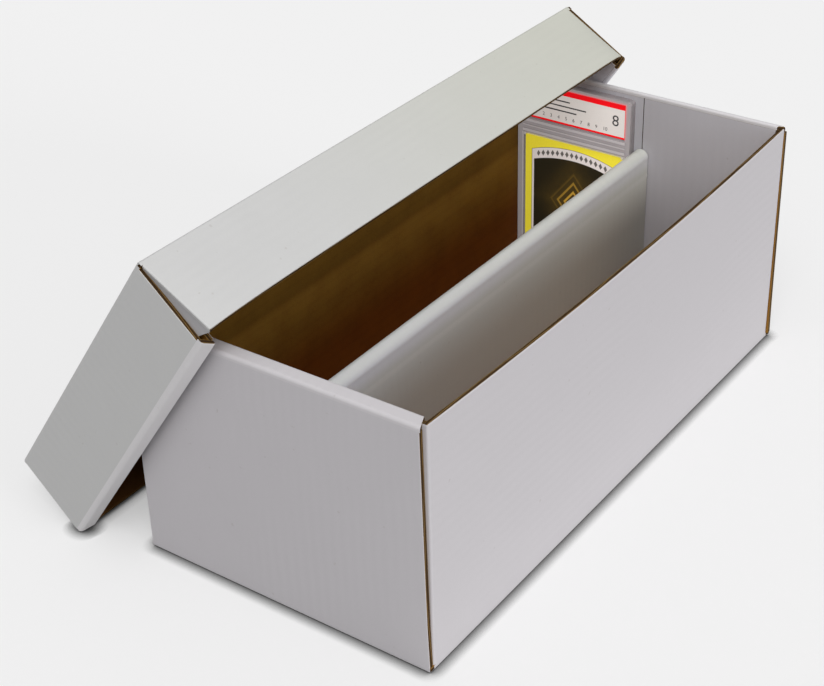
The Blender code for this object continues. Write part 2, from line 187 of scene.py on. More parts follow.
class Graph:
    """A material's node tree, built up one node at a time."""

    def __init__(self, name: str) -> None:
        """Start a material.

        Args:
            name: What the material is called.
        """
        self.material = bpy.data.materials.new(name)
        self.material.use_nodes = True
        self.tree = self.material.node_tree
        self.shader = self.tree.nodes["Principled BSDF"]
        self.place = self.add("TexCoord").outputs["Object"]

    def add(self, kind: str, inputs: dict | None = None, **settings: object) -> Node:
        """Add a node.

        Args:
            kind: The node's type, without its ShaderNode prefix.
            inputs: What each input takes, by its name or number.
            settings: The node's own settings.

        Returns:
            The new node.
        """
        node = self.tree.nodes.new(f"ShaderNode{kind}")
        for key, value in settings.items():
            setattr(node, key, value)
        for key, value in (inputs or {}).items():
            self.feed(node.inputs[key], value)
        return node

    def feed(self, socket: NodeSocket, value: object) -> None:
        """Link an input, or set what it takes.

        Args:
            socket: The input.
            value: A value or a socket to link, or a number or a colour to set.
        """
        if isinstance(value, (Value, NodeSocket)):
            self.tree.links.new(getattr(value, "socket", value), socket)
        else:
            socket.default_value = (*value, 1.0) if socket.type == "RGBA" else value

    def value(self, kind: str, inputs: dict, output: int | str = 0, **settings: object) -> Value:
        """Add a node as add does, and take up one of its outputs, by its name or number."""
        return Value(self, self.add(kind, inputs, **settings).outputs[output])

    def axis(self, name: str) -> Value:
        """One of the object's coordinates."""
        return self.value("SeparateXYZ", {0: self.place}, name)

    def sheet(self) -> tuple[Value, Value]:
        """The point's two coordinates on the piece's own UV map."""
        place = self.add("UVMap", uv_map=SHEET_MAP).outputs["UV"]
        return tuple(self.value("SeparateXYZ", {0: place}, name) for name in "XY")

    def noise(
        self, scale: float, detail: float = 2.0, rough: float = 0.5, place: NodeSocket | None = None
    ) -> Value:
        """Add smooth noise around 0.5.

        Args:
            scale: Features per unit of the coordinate.
            detail: Octaves.
            rough: Strength of the finer octaves.
            place: The coordinate, if it isn't the object's.

        Returns:
            The noise.
        """
        place = place or self.place
        inputs = {"Vector": place, "Scale": scale, "Detail": detail, "Roughness": rough}
        return self.value("TexNoise", inputs)

    def flutes(self, across: Value, scale: float, wander: float) -> Value:
        """How far the flutes have turned at a way across them, in radians, as they wander."""
        return across * (math.tau / FLUTE_PITCH) + self.noise(scale) * wander

    def mix(self, share: object, first: object, second: object) -> Value:
        """Mix two colours, with the given share of the second."""
        return self.value("Mix", {0: share, 6: first, 7: second}, 2, data_type="RGBA")

    def shade(self, colour: object, share: Value) -> Value:
        """Multiply a colour by a value."""
        return self.value("VectorMath", {0: colour, "Scale": share}, operation="SCALE")

    def tinted(self, colour: Value | Colour, tints: tuple[Tint, ...]) -> Value | Colour:
        """Paint light and shade onto a colour, changing its tone with the height.

        Args:
            colour: The colour.
            tints: The painted light and shade.

        Returns:
            The tinted colour.
        """
        for height_shade in tints:
            share = self.axis("Z").step(height_shade.start, height_shade.full)
            factor = self.mix(share, (1.0, 1.0, 1.0), height_shade.factor)
            colour = self.value("VectorMath", {0: colour, 1: factor}, operation="MULTIPLY")
        return colour

    def relief(self, height: Value, depth: float, strength: float) -> None:
        """Give the surface a relief, as deep in metres as a height of 1 is."""
        inputs = {"Strength": strength, "Distance": depth, "Height": height}
        self.feed(self.shader.inputs["Normal"], self.value("Bump", inputs))

    def finish(self, **inputs: object) -> Material:
        """Set the shader's inputs.

        Args:
            inputs: What each input takes, by its name with _ for a space.

        Returns:
            The finished material.
        """
        for key, value in inputs.items():
            self.feed(self.shader.inputs[key.replace("_", " ")], value)
        return self.material


@dataclass(frozen=True)
class Rub:
    """Painted shade: how a liner darkens towards its foot, in the shade of the deep tray.

    Attributes:
        high: The level at which it starts.
        low: The level from which it is darkest.
        near: The darker colour and its share, towards the near end.
        far: The same at the far end.
    """

    high: float
    low: float
    near: tuple[Colour, float]
    far: tuple[Colour, float]


@dataclass(frozen=True)
class LinerFinish:
    """The white coated liner: matt, faintly ribbed by the flutes behind it and mottled.

    Attributes:
        name: The material's name.
        colour: The liner's colour near the near end.
        far_colour: Its colour at the far end, if it differs.
        rubbed: Painted shade, darker towards its foot.
        scored: The level of the ridge that the press left, where a painted highlight runs.
        tints: Painted light and shade, changing its tone with the height.
        rib_share: How much the flutes shade the liner.
        mottle_share: How much the fibres shade it.
        ridge: The colour of the painted highlight along the pressed ridge.
        fleck: The colour of the few flecks in the paper.
    """

    name: str
    colour: Colour
    far_colour: Colour | None = None
    rubbed: Rub | None = None
    scored: float | None = None
    tints: tuple[Tint, ...] = ()
    rib_share: float = 0.010
    mottle_share: float = 0.04
    ridge: Colour = (0.95, 0.95, 0.94)
    fleck: Colour = (0.34, 0.30, 0.26)

    def build(self) -> Material:
        """Build the material.

        Returns:
            The material.
        """
        graph = Graph(self.name)
        across, _ = graph.sheet()
        rib = graph.flutes(across, 22.0, 5.0).sine() * 0.5 + 0.5
        patch = graph.noise(9.0, 3.0, 0.6).step(0.35, 0.7)
        fine, broad = graph.noise(620.0, 3.0, 0.65), graph.noise(34.0, 4.0, 0.6)
        mottled = (fine - 0.5) * self.mottle_share + (broad - 0.5) * (self.mottle_share * 1.2)
        share = (rib - 0.5) * patch * (self.rib_share * 2) + mottled + 1.0
        fleck = graph.noise(260.0, 1.0).step(0.76, 0.82) * 0.22
        base = graph.tinted(self.ground(graph), self.tints)
        graph.relief(rib * 0.7 + fine * 0.5, 0.00002, 0.5)
        return graph.finish(
            Base_Color=graph.mix(fleck, graph.shade(base, share), self.fleck),
            Roughness=broad * 0.16 + 0.5, Specular_IOR_Level=0.35,
        )

    def ground(self, graph: Graph) -> Value | Colour:
        """The liner's colour from end to end, with painted shade at its foot and a painted
        highlight along its pressed ridge.

        Args:
            graph: The material that is being built.

        Returns:
            The colour.
        """
        along, level, base = graph.axis("Y"), graph.axis("Z"), self.colour
        if self.far_colour:
            base = graph.mix(along.step(-0.17, 0.2), base, self.far_colour)
        # Painted shade: darker towards the foot, and more so at the far end.
        if self.rubbed:
            (near_colour, near_share), (far_colour, far_share) = self.rubbed.near, self.rubbed.far
            away = along.step(0.06, 0.185)
            full = away * (far_share - near_share) + near_share
            darker = level.step(self.rubbed.high, self.rubbed.low) * full
            base = graph.mix(darker, base, graph.mix(away, near_colour, far_colour))
        # Painted highlight along the ridge that the press left.
        if self.scored is not None:
            ridge = abs(level - self.scored).step(0.0028, 0.0006) * 0.28
            base = graph.mix(ridge, base, self.ridge)
        return base


@dataclass(frozen=True)
class KraftFinish:
    """The unbleached inner liner: brown, fibrous, with the flutes' glue lines showing.

    Attributes:
        name: The material's name.
        colour: The paper's colour.
        dark: The colour of its darker fibres and glue lines.
        tints: Painted light and shade, changing its tone with the height.
        drawn: How the fibres are drawn out along the flutes.
    """

    name: str
    colour: Colour
    dark: Colour
    tints: tuple[Tint, ...] = ()
    drawn: float = 0.22

    def build(self) -> Material:
        """Build the material.

        Returns:
            The material.
        """
        graph = Graph(self.name)
        across, along = graph.sheet()
        sheet = graph.add("CombineXYZ", {"X": across, "Y": along * self.drawn}).outputs[0]
        fibres, blotch = graph.noise(2.4, 4.0, 0.7, sheet), graph.noise(45.0, 3.0, 0.6)
        line = graph.flutes(across, 30.0, 3.0).sine().step(0.2, 1.0)
        tone = (fibres * 0.55 + blotch * 0.35 + line * 0.03).step(0.28, 0.72)
        graph.relief(fibres + line * 0.2, 0.00005, 0.5)
        paper = graph.tinted(graph.mix(tone, self.colour, self.dark), self.tints)
        return graph.finish(Base_Color=paper, Roughness=0.82, Specular_IOR_Level=0.2)


@dataclass(frozen=True)
class RawEdgeFinish:
    """A cut edge of the board: two liners with the waved medium and its hollows between.

    The sheet gives the way along the edge and the depth from the outer liner.

    Attributes:
        name: The material's name.
        liner: The liners' thickness in millimetres.
        medium: The medium's thickness in millimetres.
        blur: Half the soft edge of a liner, in millimetres.
        paper: Colour of the cut kraft paper.
        white: Colour of the outer liner's cut edge.
        hollow: Painted shade down in the flutes' hollows.
    """

    name: str
    liner: float = 0.34
    medium: float = 0.3
    blur: float = 0.06
    paper: Colour = (0.226, 0.134, 0.043)
    white: Colour = (0.34, 0.27, 0.19)
    hollow: Colour = (0.048, 0.025, 0.009)

    def build(self) -> Material:
        """Build the material.

        Returns:
            The material.
        """
        graph = Graph(self.name)
        along, depth = graph.sheet()
        board = BOARD / MM
        turns = graph.flutes(along, 26.0, 4.0)
        swing = (board / 2 - self.liner - self.medium / 2) * 0.95
        width = abs(turns.through("COSINE")) * (self.medium * 0.5) + self.medium * 0.55
        reach = abs(depth - (turns.sine() * swing + board / 2))
        waved = (reach - width).step(0.1, -self.blur)
        back = board - self.liner
        outer = depth.step(self.liner + self.blur, self.liner - self.blur)
        liners = outer.most(depth.step(back - self.blur, back + self.blur))
        torn = graph.noise(900.0, 3.0, 0.7)
        paper = graph.shade(self.paper, torn * 0.9 + 0.55)
        # Painted shade in the flutes' hollows between the waved medium.
        colour = graph.mix(liners, graph.mix(waved, self.hollow, paper), paper)
        colour = graph.mix(depth.step(0.2, 0.02) * 0.8, colour, self.white)
        graph.relief(torn * 0.15 + waved.most(liners), 0.0004, 0.8)
        return graph.finish(Base_Color=colour, Roughness=0.9, Specular_IOR_Level=0.15)


@dataclass(frozen=True)
class ShellFinish:
    """Clear moulded styrene, greyish where it is ribbed and clear over the card and the label.

    Attributes:
        name: The material's name.
        colour: The plastic's cast.
        cloudy: How much of what lies behind it the ribbed plastic hides.
        windows: Each window's middle across, middle height, half width and half height.
        blur: Half the soft edge of a window.
    """

    name: str
    colour: Colour
    cloudy: float
    windows: tuple[tuple[float, float, float, float], ...] = ()
    blur: float = 0.2 * MM

    def build(self) -> Material:
        """Build the material.

        Returns:
            The material.
        """
        graph = Graph(self.name)
        drawn = graph.add("Mapping", {"Vector": graph.place, "Scale": (900.0, 900.0, 90.0)})
        scuffs = graph.noise(1.0, 3.0, 0.7, drawn.outputs[0]).step(0.5, 0.75)
        haze = graph.noise(60.0)
        graph.relief(haze, 0.00003, 0.3)
        alpha = self.cloudy
        for across, level, half_width, half_height in self.windows:
            side = half_width - abs(graph.axis("X") - across)
            inset = side.least(half_height - abs(graph.axis("Z") - level))
            alpha = inset.step(-self.blur, self.blur) * -self.cloudy + alpha
        return graph.finish(
            Base_Color=graph.shade(self.colour, haze * 0.12 + 0.94),
            Roughness=scuffs * 0.16 + haze * 0.08 + 0.1, Alpha=alpha, Specular_IOR_Level=0.2,
        )


@dataclass(frozen=True)
class LabelFinish:
    """Printed label paper: a white field in a red frame with a deeper red band on top.

    Attributes:
        name: The material's name.
        width: The label's width in millimetres.
        height: Its height in millimetres.
        paper: The field's colour.
        red: The frame's colour.
        frame: The frame's width in millimetres.
        band: The top band's height in millimetres.
    """

    name: str
    width: float
    height: float
    paper: Colour = (0.66, 0.62, 0.59)
    red: Colour = (0.86, 0.002, 0.008)
    frame: float = 1.3
    band: float = 4.6

    def build(self) -> Material:
        """Build the material.

        Returns:
            The material.
        """
        graph = Graph(self.name)
        across, up = graph.sheet()
        foot = (self.width / 2 - abs(across)).least(up)
        top = self.height - self.band
        red = foot.step(self.frame + SOFT, self.frame - SOFT).most(up.step(top - SOFT, top + SOFT))
        tone = graph.noise(1400.0) * 0.08 + 0.96
        colour = graph.shade(graph.mix(red, self.paper, self.red), tone)
        return graph.finish(Base_Color=colour, Roughness=0.5, Specular_IOR_Level=0.15)


@dataclass(frozen=True)
class CardFinish:
    """Printed card stock: yellow ground, a pale arched band of lozenges, a dark field with gold.

    Attributes:
        name: The material's name.
        width: The card's width in millimetres.
        height: Its height in millimetres.
        ground: The border's colour.
        band: The arched band's colour.
        dark: The dark field's colour.
        gold: The diamonds' colour.
        border: The yellow border's width at the sides and at the arch's crown, in millimetres.
        arch: How fast the arch falls from its crown, per square millimetre.
        band_width: The band's width under the arch, in millimetres.
        rail_width: Its width down the sides, in millimetres.
        lozenge_pitch: From one lozenge to the next, in millimetres.
        ring_pitch: From one diamond to the next, in millimetres.
        emblem_height: The diamonds' middle, as a share of the height.
    """

    name: str
    width: float
    height: float
    ground: Colour = (0.86, 0.73, 0.045)
    band: Colour = (0.74, 0.68, 0.66)
    dark: Colour = (0.020, 0.016, 0.008)
    gold: Colour = (0.62, 0.36, 0.05)
    border: float = 5.0
    arch: float = 0.0058
    band_width: float = 7.5
    rail_width: float = 1.6
    lozenge_pitch: float = 3.6
    ring_pitch: float = 5.2
    emblem_height: float = 0.56

    def build(self) -> Material:
        """Build the material.

        Returns:
            The material.
        """
        graph = Graph(self.name)
        across, up = graph.sheet()
        side = self.width / 2 - self.border - abs(across)
        crown = self.height - self.border - up - across * across * self.arch
        inset = side.least(crown).least(up - self.border)
        inner = (side - self.rail_width).least(crown - self.band_width)
        inner = inner.least(up - (self.border + self.rail_width))
        colour = graph.mix(inset.step(-SOFT, SOFT), self.ground, self.band)
        colour = graph.mix(self.lozenges(across, crown) * 0.85, colour, self.dark)
        colour = graph.mix(abs(inset).step(0.26, 0.12) * 0.8, colour, self.dark)
        colour = graph.mix(inner.step(-SOFT, SOFT), colour, self.emblem(graph, across, up))
        colour = graph.shade(colour, graph.noise(1200.0) * 0.1 + 0.95)
        return graph.finish(Base_Color=colour, Roughness=0.38, Specular_IOR_Level=0.2)

    def lozenges(self, across: Value, crown: Value) -> Value:
        """A row of small dark lozenges along the arched band.

        Args:
            across: The way across the card, from its middle.
            crown: The depth below the arch.

        Returns:
            How dark it is there.
        """
        cell = across.through("DIVIDE", self.lozenge_pitch).through("FRACT") - 0.5
        reach = abs(crown - self.band_width / 2) * 0.62 + abs(cell) * self.lozenge_pitch
        within = abs(across).through("LESS_THAN", self.width / 2 - self.border - 4.0)
        return reach.step(1.5, 1.2) * within

    def emblem(self, graph: Graph, across: Value, up: Value) -> Value:
        """The dark field with its glow and its nested gold diamonds.

        Args:
            graph: The material that is being built.
            across: The way across the card, from its middle.
            up: The height on the card.

        Returns:
            The colour.
        """
        reach = abs(across) + abs(up - self.height * self.emblem_height) * 0.8
        rings = (reach * (math.tau / self.ring_pitch)).sine().step(0.3, 0.7)
        glow = graph.noise(120.0, 4.0, 0.65) * 0.16 * reach.step(38.0, 4.0)
        drawn = rings * reach.step(20.0, 3.0) * 0.85
        return graph.mix(drawn, graph.mix(glow, self.dark, self.gold), self.gold)


@dataclass(frozen=True)
class InkFinish:
    """Flat printing ink on the label.

    Attributes:
        name: The material's name.
        colour: The ink's colour.
    """

    name: str
    colour: Colour

    def build(self) -> Material:
        """Build the material.

        Returns:
            The material.
        """
        graph = Graph(self.name)
        colour = graph.shade(self.colour, graph.noise(1500.0) * 0.6 + 0.7)
        return graph.finish(Base_Color=colour, Roughness=0.55)


@dataclass(frozen=True)
class FloorFinish:
    """The studio's pale floor, which shows paler to the camera than it lights the box.

    Attributes:
        name: The material's name.
        seen: The diffuse colour that the camera sees.
        glow: Light that is added for the camera alone.
        bounced: The diffuse colour that lights the box from below.
        bright: The same along the box's right side, a painted pool of light that lights that side
            from below.
        contact: How far from the box the floor is shaded.
        shade: How steeply it darkens towards the box.
    """

    name: str
    seen: float
    glow: float
    bounced: float
    bright: float
    contact: float = 7.5 * MM
    shade: float = 2.3

    def build(self) -> Material:
        """Build the material.

        Returns:
            The material.
        """
        graph = Graph(self.name)
        path = graph.add("LightPath").outputs
        seen = Value(graph, path["Is Camera Ray"]).most(path["Is Glossy Ray"])
        seen = seen.most(path["Is Transmission Ray"])
        across = graph.axis("X")
        # Painted pool of light along the box's right side, seen only in the light that the floor
        # throws.
        lit = across.step(0.088, 0.096) * across.step(0.24, 0.16)
        bounce = graph.mix(lit, (self.bounced,) * 3, (self.bright,) * 3)
        nearby = graph.value("AmbientOcclusion", {"Distance": self.contact}, "AO", samples=8)
        openness = nearby.through("POWER", self.shade)
        graph.relief(graph.noise(40.0), 0.00001, 0.1)
        return graph.finish(
            Base_Color=graph.mix(seen, bounce, graph.shade((self.seen,) * 3, openness)),
            Roughness=0.9, Specular_IOR_Level=0.0,
            Emission_Color=(1.0, 1.0, 1.0), Emission_Strength=seen * self.glow * openness,
        )


# ---- The bench: from shaped meshes to pieces of the box


@dataclass(frozen=True)
class Piece:
    """What a finished piece is called and where it belongs.

    Attributes:
        name: The piece's name.
        body: The body it rides on.
        slot: The record's material slot; not used.
        nodes: The frame's nodes that it stands for.
    """

    name: str
    body: Body
    slot: str
    nodes: tuple[str, ...] = ()


@dataclass
class Bench:
    """Finishes meshes into pieces and counts them.

    Attributes:
        made: The names of the pieces so far.
        sharp: The angle from which an edge is sharp, in degrees.
        evenness: How much larger faces lead the shading.
    """

    made: list[str] = field(default_factory=list)
    sharp: float = 32.0
    evenness: int = 80

    def finish(self, shape: BMesh, piece: Piece, materials: Iterable[Material]) -> Object:
        """Make an object of a shaped mesh and put it on its body.

        Args:
            shape: The mesh, in place in the row's frame. It is freed.
            piece: What the piece is.
            materials: The piece's materials, in slot order.

        Returns:
            The new object.
        """
        mesh = bpy.data.meshes.new(piece.name)
        for face in shape.faces:
            face.smooth = True
        shape.to_mesh(mesh)
        shape.free()
        mesh.set_sharp_from_angle(angle=math.radians(self.sharp))
        for material in materials:
            mesh.materials.append(material)
        obj = stand(piece.name, mesh)
        even = obj.modifiers.new("even_shading", "WEIGHTED_NORMAL")
        even.keep_sharp = True
        even.weight = self.evenness
        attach(obj, piece.body.value)
        if piece.nodes:
            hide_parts(*piece.nodes)
        self.made.append(piece.name)
        LOG.info("%s: %d faces on %s", piece.name, len(mesh.polygons), piece.body.value)
        return obj


def stand(name: str, data: bpy.types.ID, place: Matrix | None = None) -> Object:
    """Make an object and put it in the scene.

    Args:
        name: What it is called.
        data: Its mesh, lamp, camera or text.
        place: Where it stands, if its data aren't in place already.

    Returns:
        The new object.
    """
    obj = bpy.data.objects.new(name, data)
    if place:
        obj.matrix_world = place
    bpy.context.scene.collection.objects.link(obj)
    return obj


def held(value: float) -> float:
    """A value held between 0 and 1."""
    return min(1.0, max(0.0, value))


def corners(*spans: tuple[float, float]) -> tuple[Vector, Vector]:
    """The least and the greatest corner of the block between two places on each axis."""
    return Vector([min(span) for span in spans]), Vector([max(span) for span in spans])


def only(kind: type, parts: Iterable[object]) -> list:
    """The parts of one kind, out of what an operator hands back."""
    return [part for part in parts if isinstance(part, kind)]


def add_block(shape: BMesh, low: Vector, high: Vector) -> list[BMVert]:
    """Add a block between two corners.

    Args:
        shape: The mesh to add to.
        low: The corner with the least coordinates.
        high: The opposite corner.

    Returns:
        The block's vertices.
    """
    verts = bmesh.ops.create_cube(shape, size=1.0)["verts"]
    bmesh.ops.scale(shape, vec=high - low, verts=verts)
    bmesh.ops.translate(shape, vec=(high + low) / 2, verts=verts)
    return verts


def divide(shape: BMesh, way: Vector, places: Iterable[float]) -> None:
    """Add rings of edges across a mesh.

    Args:
        shape: The mesh.
        way: The axis along which the rings follow each other.
        places: Where they stand on it.
    """
    for place in places:
        geom = shape.verts[:] + shape.edges[:] + shape.faces[:]
        bmesh.ops.bisect_plane(shape, geom=geom, plane_co=way * place, plane_no=way)


def round_edges(shape: BMesh, edges: list[BMEdge], radius: float, segments: int) -> None:
    """Bevel edges to a round of the given radius."""
    if edges:
        bmesh.ops.bevel(
            shape, geom=edges, offset=radius, offset_type="OFFSET", segments=segments, profile=0.5,
            affect="EDGES", material=-1, clamp_overlap=True,
        )


def turned(angle: float, axis: str, centre: Vector) -> Matrix:
    """A turn about an axis through a point."""
    there = Matrix.Translation(centre)
    return there @ Matrix.Rotation(angle, 4, axis) @ Matrix.Translation(-centre)


@dataclass
class BoardPanel:
    """One panel of a sheet, as a slab between its two liners, in its blank's own frame.

    Attributes:
        low: The corner with the least coordinates.
        high: The opposite corner.
        outward: The way the outer liner faces.
        flutes: The way the flutes run.
        folds: The ways in which the sheet goes on round a crease, under the same liner.
        joints: The ways in which the panel butts against the next one.
        fold_radius: How far the outer liner rounds over at a crease.
        raw_corner: Where a folded side's liner gives way to a raw end, as a distance along Y.
        crushed: How far the knife pressed the raw edges round.
        shape: The panel's mesh.
    """

    low: Vector
    high: Vector
    outward: Vector
    flutes: Vector
    folds: tuple[Vector, ...] = ()
    joints: tuple[Vector, ...] = ()
    fold_radius: float = 1.3 * MM
    raw_corner: float | None = None
    crushed: float = 0.3 * MM
    shape: BMesh = field(default_factory=bmesh.new)

    def __post_init__(self) -> None:
        """Make the slab."""
        add_block(self.shape, self.low, self.high)
        bmesh.ops.recalc_face_normals(self.shape, faces=self.shape.faces)

    def trim(self, point: Vector, beyond: Vector) -> None:
        """Cut away what lies beyond a plane and close the cut.

        Args:
            point: A point on the plane.
            beyond: The way to what goes.
        """
        shape = self.shape
        geom = shape.verts[:] + shape.edges[:] + shape.faces[:]
        cut = bmesh.ops.bisect_plane(
            shape, geom=geom, plane_co=point, plane_no=beyond, clear_outer=True
        )
        bmesh.ops.holes_fill(shape, edges=only(BMEdge, cut["geom_cut"]), sides=0)

    def pierce(self, centre: Vector, half: Vector) -> None:
        """Cut a rectangular slot through a panel that lies in X and Y.

        Args:
            centre: The slot's middle.
            half: Half its width and half its depth.
        """
        divide(self.shape, X_AXIS, (centre.x - half.x, centre.x + half.x))
        divide(self.shape, Y_AXIS, (centre.y - half.y, centre.y + half.y))
        inside = []
        for face in self.shape.faces:
            away = face.calc_center_median() - centre
            if abs(face.normal.z) > FACING and abs(away.x) < half.x and abs(away.y) < half.y:
                inside.append(face)
        bmesh.ops.delete(self.shape, geom=inside, context="FACES")
        rims = [edge for edge in self.shape.edges if edge.is_boundary]
        bmesh.ops.bridge_loops(self.shape, edges=rims)
        bmesh.ops.recalc_face_normals(self.shape, faces=self.shape.faces)

    def is_liner(self, face: BMFace) -> bool:
        """Tell whether the outer liner covers a face, on the panel or round a fold.

        Args:
            face: The face.

        Returns:
            True where it does.
        """
        if face.normal.dot(self.outward) > 0.3:
            return True
        turned_over = any(face.normal.dot(way) > 0.6 for way in self.folds)
        if turned_over and self.raw_corner is not None and abs(face.normal.x) > 0.6:
            return abs(face.calc_center_median().y) < self.raw_corner
        return turned_over

    def surface_of(self, face: BMFace) -> Surface:
        """Tell which surface of the board a face is.

        Args:
            face: The face.

        Returns:
            The surface.
        """
        if self.is_liner(face):
            return Surface.OUTER
        return Surface.INNER if face.normal.dot(self.outward) < -0.6 else Surface.RAW

    def round_folds(self, segments: int = 5) -> None:
        """Round the outer liner over at each crease.

        Args:
            segments: How many facets the round has.
        """
        edges = []
        for edge in self.shape.edges:
            normals = [face.normal for face in edge.link_faces]
            is_out = any(normal.dot(self.outward) > FACING for normal in normals)
            if is_out and any(normal.dot(way) > 0.8 for normal in normals for way in self.folds):
                edges.append(edge)
        round_edges(self.shape, edges, self.fold_radius, segments)

    def crush_edges(self) -> None:
        """Soften the raw edges where the knife pressed the liners together."""
        edges = []
        for edge in self.shape.edges:
            faces = edge.link_faces
            kinds = {self.surface_of(face) for face in faces}
            butted = any(face.normal.dot(way) > FACING for face in faces for way in self.joints)
            if len(faces) == len(kinds) == 2 and Surface.RAW in kinds and not butted:
                edges.append(edge)
        round_edges(self.shape, edges, self.crushed, 2)

    def dress(self) -> None:
        """Give each face its surface and its place on the sheet.

        A raw edge's stripes are drawn together, so that both liners show between its rounds.
        """
        self.shape.normal_update()
        layer = self.shape.loops.layers.uv.new(SHEET_MAP)
        outer_level = max(corner.dot(self.outward) for corner in (self.low, self.high))
        thickness = abs((self.high - self.low).dot(self.outward))
        drawn_deep = thickness / (thickness - 1.5 * self.crushed)
        across = self.outward.cross(self.flutes)
        for face in self.shape.faces:
            surface = self.surface_of(face)
            face.material_index = int(surface)
            along_flutes = abs(self.outward.cross(face.normal).dot(self.flutes)) > 0.7
            way = self.flutes * DRAWN_OUT if along_flutes else across
            for loop in face.loops:
                place = loop.vert.co
                if surface is Surface.RAW:
                    depth = (outer_level - place.dot(self.outward) - self.crushed) * drawn_deep
                    loop[layer].uv = (place.dot(way) / MM, depth / MM)
                else:
                    loop[layer].uv = (place.dot(across) / MM, place.dot(self.flutes) / MM)

    def bend(self, move: Callable[[Vector], Vector]) -> None:
        """Move every vertex by a rule of its place."""
        for vert in self.shape.verts:
            vert.co += move(vert.co)


# ---- The folded trays


@dataclass(frozen=True)
class Lean:
    """How a long wall leans out of the upright, in radians.

    Attributes:
        middle: Its lean along most of its length.
        ends: Its lean at each end, where its flap holds it.
        fades: How far from each end the middle's lean is nearly reached.
        is_bow: True where the lean swells evenly towards the middle instead.
        bulge: How far the wall's corner is pushed out past each end, at its foot and at its rim.
        dips: How far the rim sinks at each end, and how far from the end that fades.
        spread: How far round the corner the bulge is felt.
        rings: Where the wall is divided, as distances from its ends.
        root_rings: Where its flaps are divided, as distances from the wall.
    """

    middle: float
    ends: dict[End, float]
    fades: dict[End, float] = field(default_factory=dict)
    is_bow: bool = False
    bulge: dict[End, tuple[float, float]] = field(default_factory=dict)
    dips: dict[End, tuple[float, float]] = field(default_factory=dict)
    spread: float = 3.5 * MM
    rings: tuple[float, ...] = tuple(
        gap * MM
        for gap in (2.0, 4.0, 6.5, 9.5, 13.5, 19.0, 27.0, 38.0, 54.0, 75.0, 100.0, 130.0, 165.0)
    )
    root_rings: tuple[float, ...] = tuple(gap * MM for gap in (1.5, 3.0, 5.0, 7.5, 10.0, 14.0))

    def at(self, along: float, reach: float) -> float:
        """The lean at a place.

        Args:
            along: The place's distance from the middle, along the wall.
            reach: Half the wall's length.

        Returns:
            The angle.
        """
        end = End.of(along)
        change = self.ends[end] - self.middle
        if self.is_bow:
            return self.middle + change * min(1.0, (along / reach) ** 2)
        return self.middle + change * math.exp(-max(0.0, reach - abs(along)) / self.fades[end])

    def dip_at(self, along: float, reach: float) -> float:
        """How far the rim has sunk at a place, measured as the lean is."""
        deep, fade = self.dips.get(End.of(along), (0.0, 1.0))
        return deep * math.exp(-max(0.0, reach - abs(along)) / fade)

    def bulge_at(self, place: Vector, foot: Vector, reach: float, height: float) -> Vector:
        """How far a place near a rim corner is pushed out along the wall.

        Args:
            place: The place on the upright wall or on its flap.
            foot: A point on the wall's crease.
            reach: Half the wall's length.
            height: The wall's height.

        Returns:
            The move.
        """
        end = End.of(place.y)
        away = abs(place.x - foot.x) + max(0.0, reach - abs(place.y)) / 2
        at_foot, at_rim = self.bulge.get(end, (0.0, 0.0))
        amount = at_foot + (at_rim - at_foot) * held(place.z / height)
        return Y_AXIS * end * amount * math.exp(-away / self.spread)


@dataclass(frozen=True)
class Slack:
    """How the near end of a tray has slipped from its place at the base and at the rim.

    Attributes:
        base: How far its base crease is drawn in.
        rim: How far its rim stands out.
        sag: How far its base stands out at the side of higher x.
        whole: How much of the length by the end moves whole.
        fade: Where, from the end, nothing moves any more.
        steps: How many times the way between is divided.
    """

    base: float
    rim: float
    sag: float
    whole: float = 12.0 * MM
    fade: float = 90.0 * MM
    steps: int = 6

    def rings(self, length: float) -> list[float]:
        """Where panels are divided along their length so that they can follow."""
        run = (self.fade - self.whole) / self.steps
        return [self.whole - length / 2 + run * step for step in range(self.steps + 1)]

    def move(self, place: Vector, width: float, length: float, height: float) -> Vector:
        """How far a place moves.

        Args:
            place: The place in the tray's own frame.
            width: The tray's width.
            length: The tray's length.
            height: The tray's height.

        Returns:
            The move.
        """
        up, across = held(place.z / height), held(place.x / width + 0.5)
        near = 1.0 - held((place.y + length / 2 - self.whole) / (self.fade - self.whole))
        out = Y_AXIS * (up * self.rim - (1.0 - up) * self.base)
        out += Z_AXIS * self.sag * across * (1.0 - up)
        return -out * near * near * (3.0 - 2.0 * near)


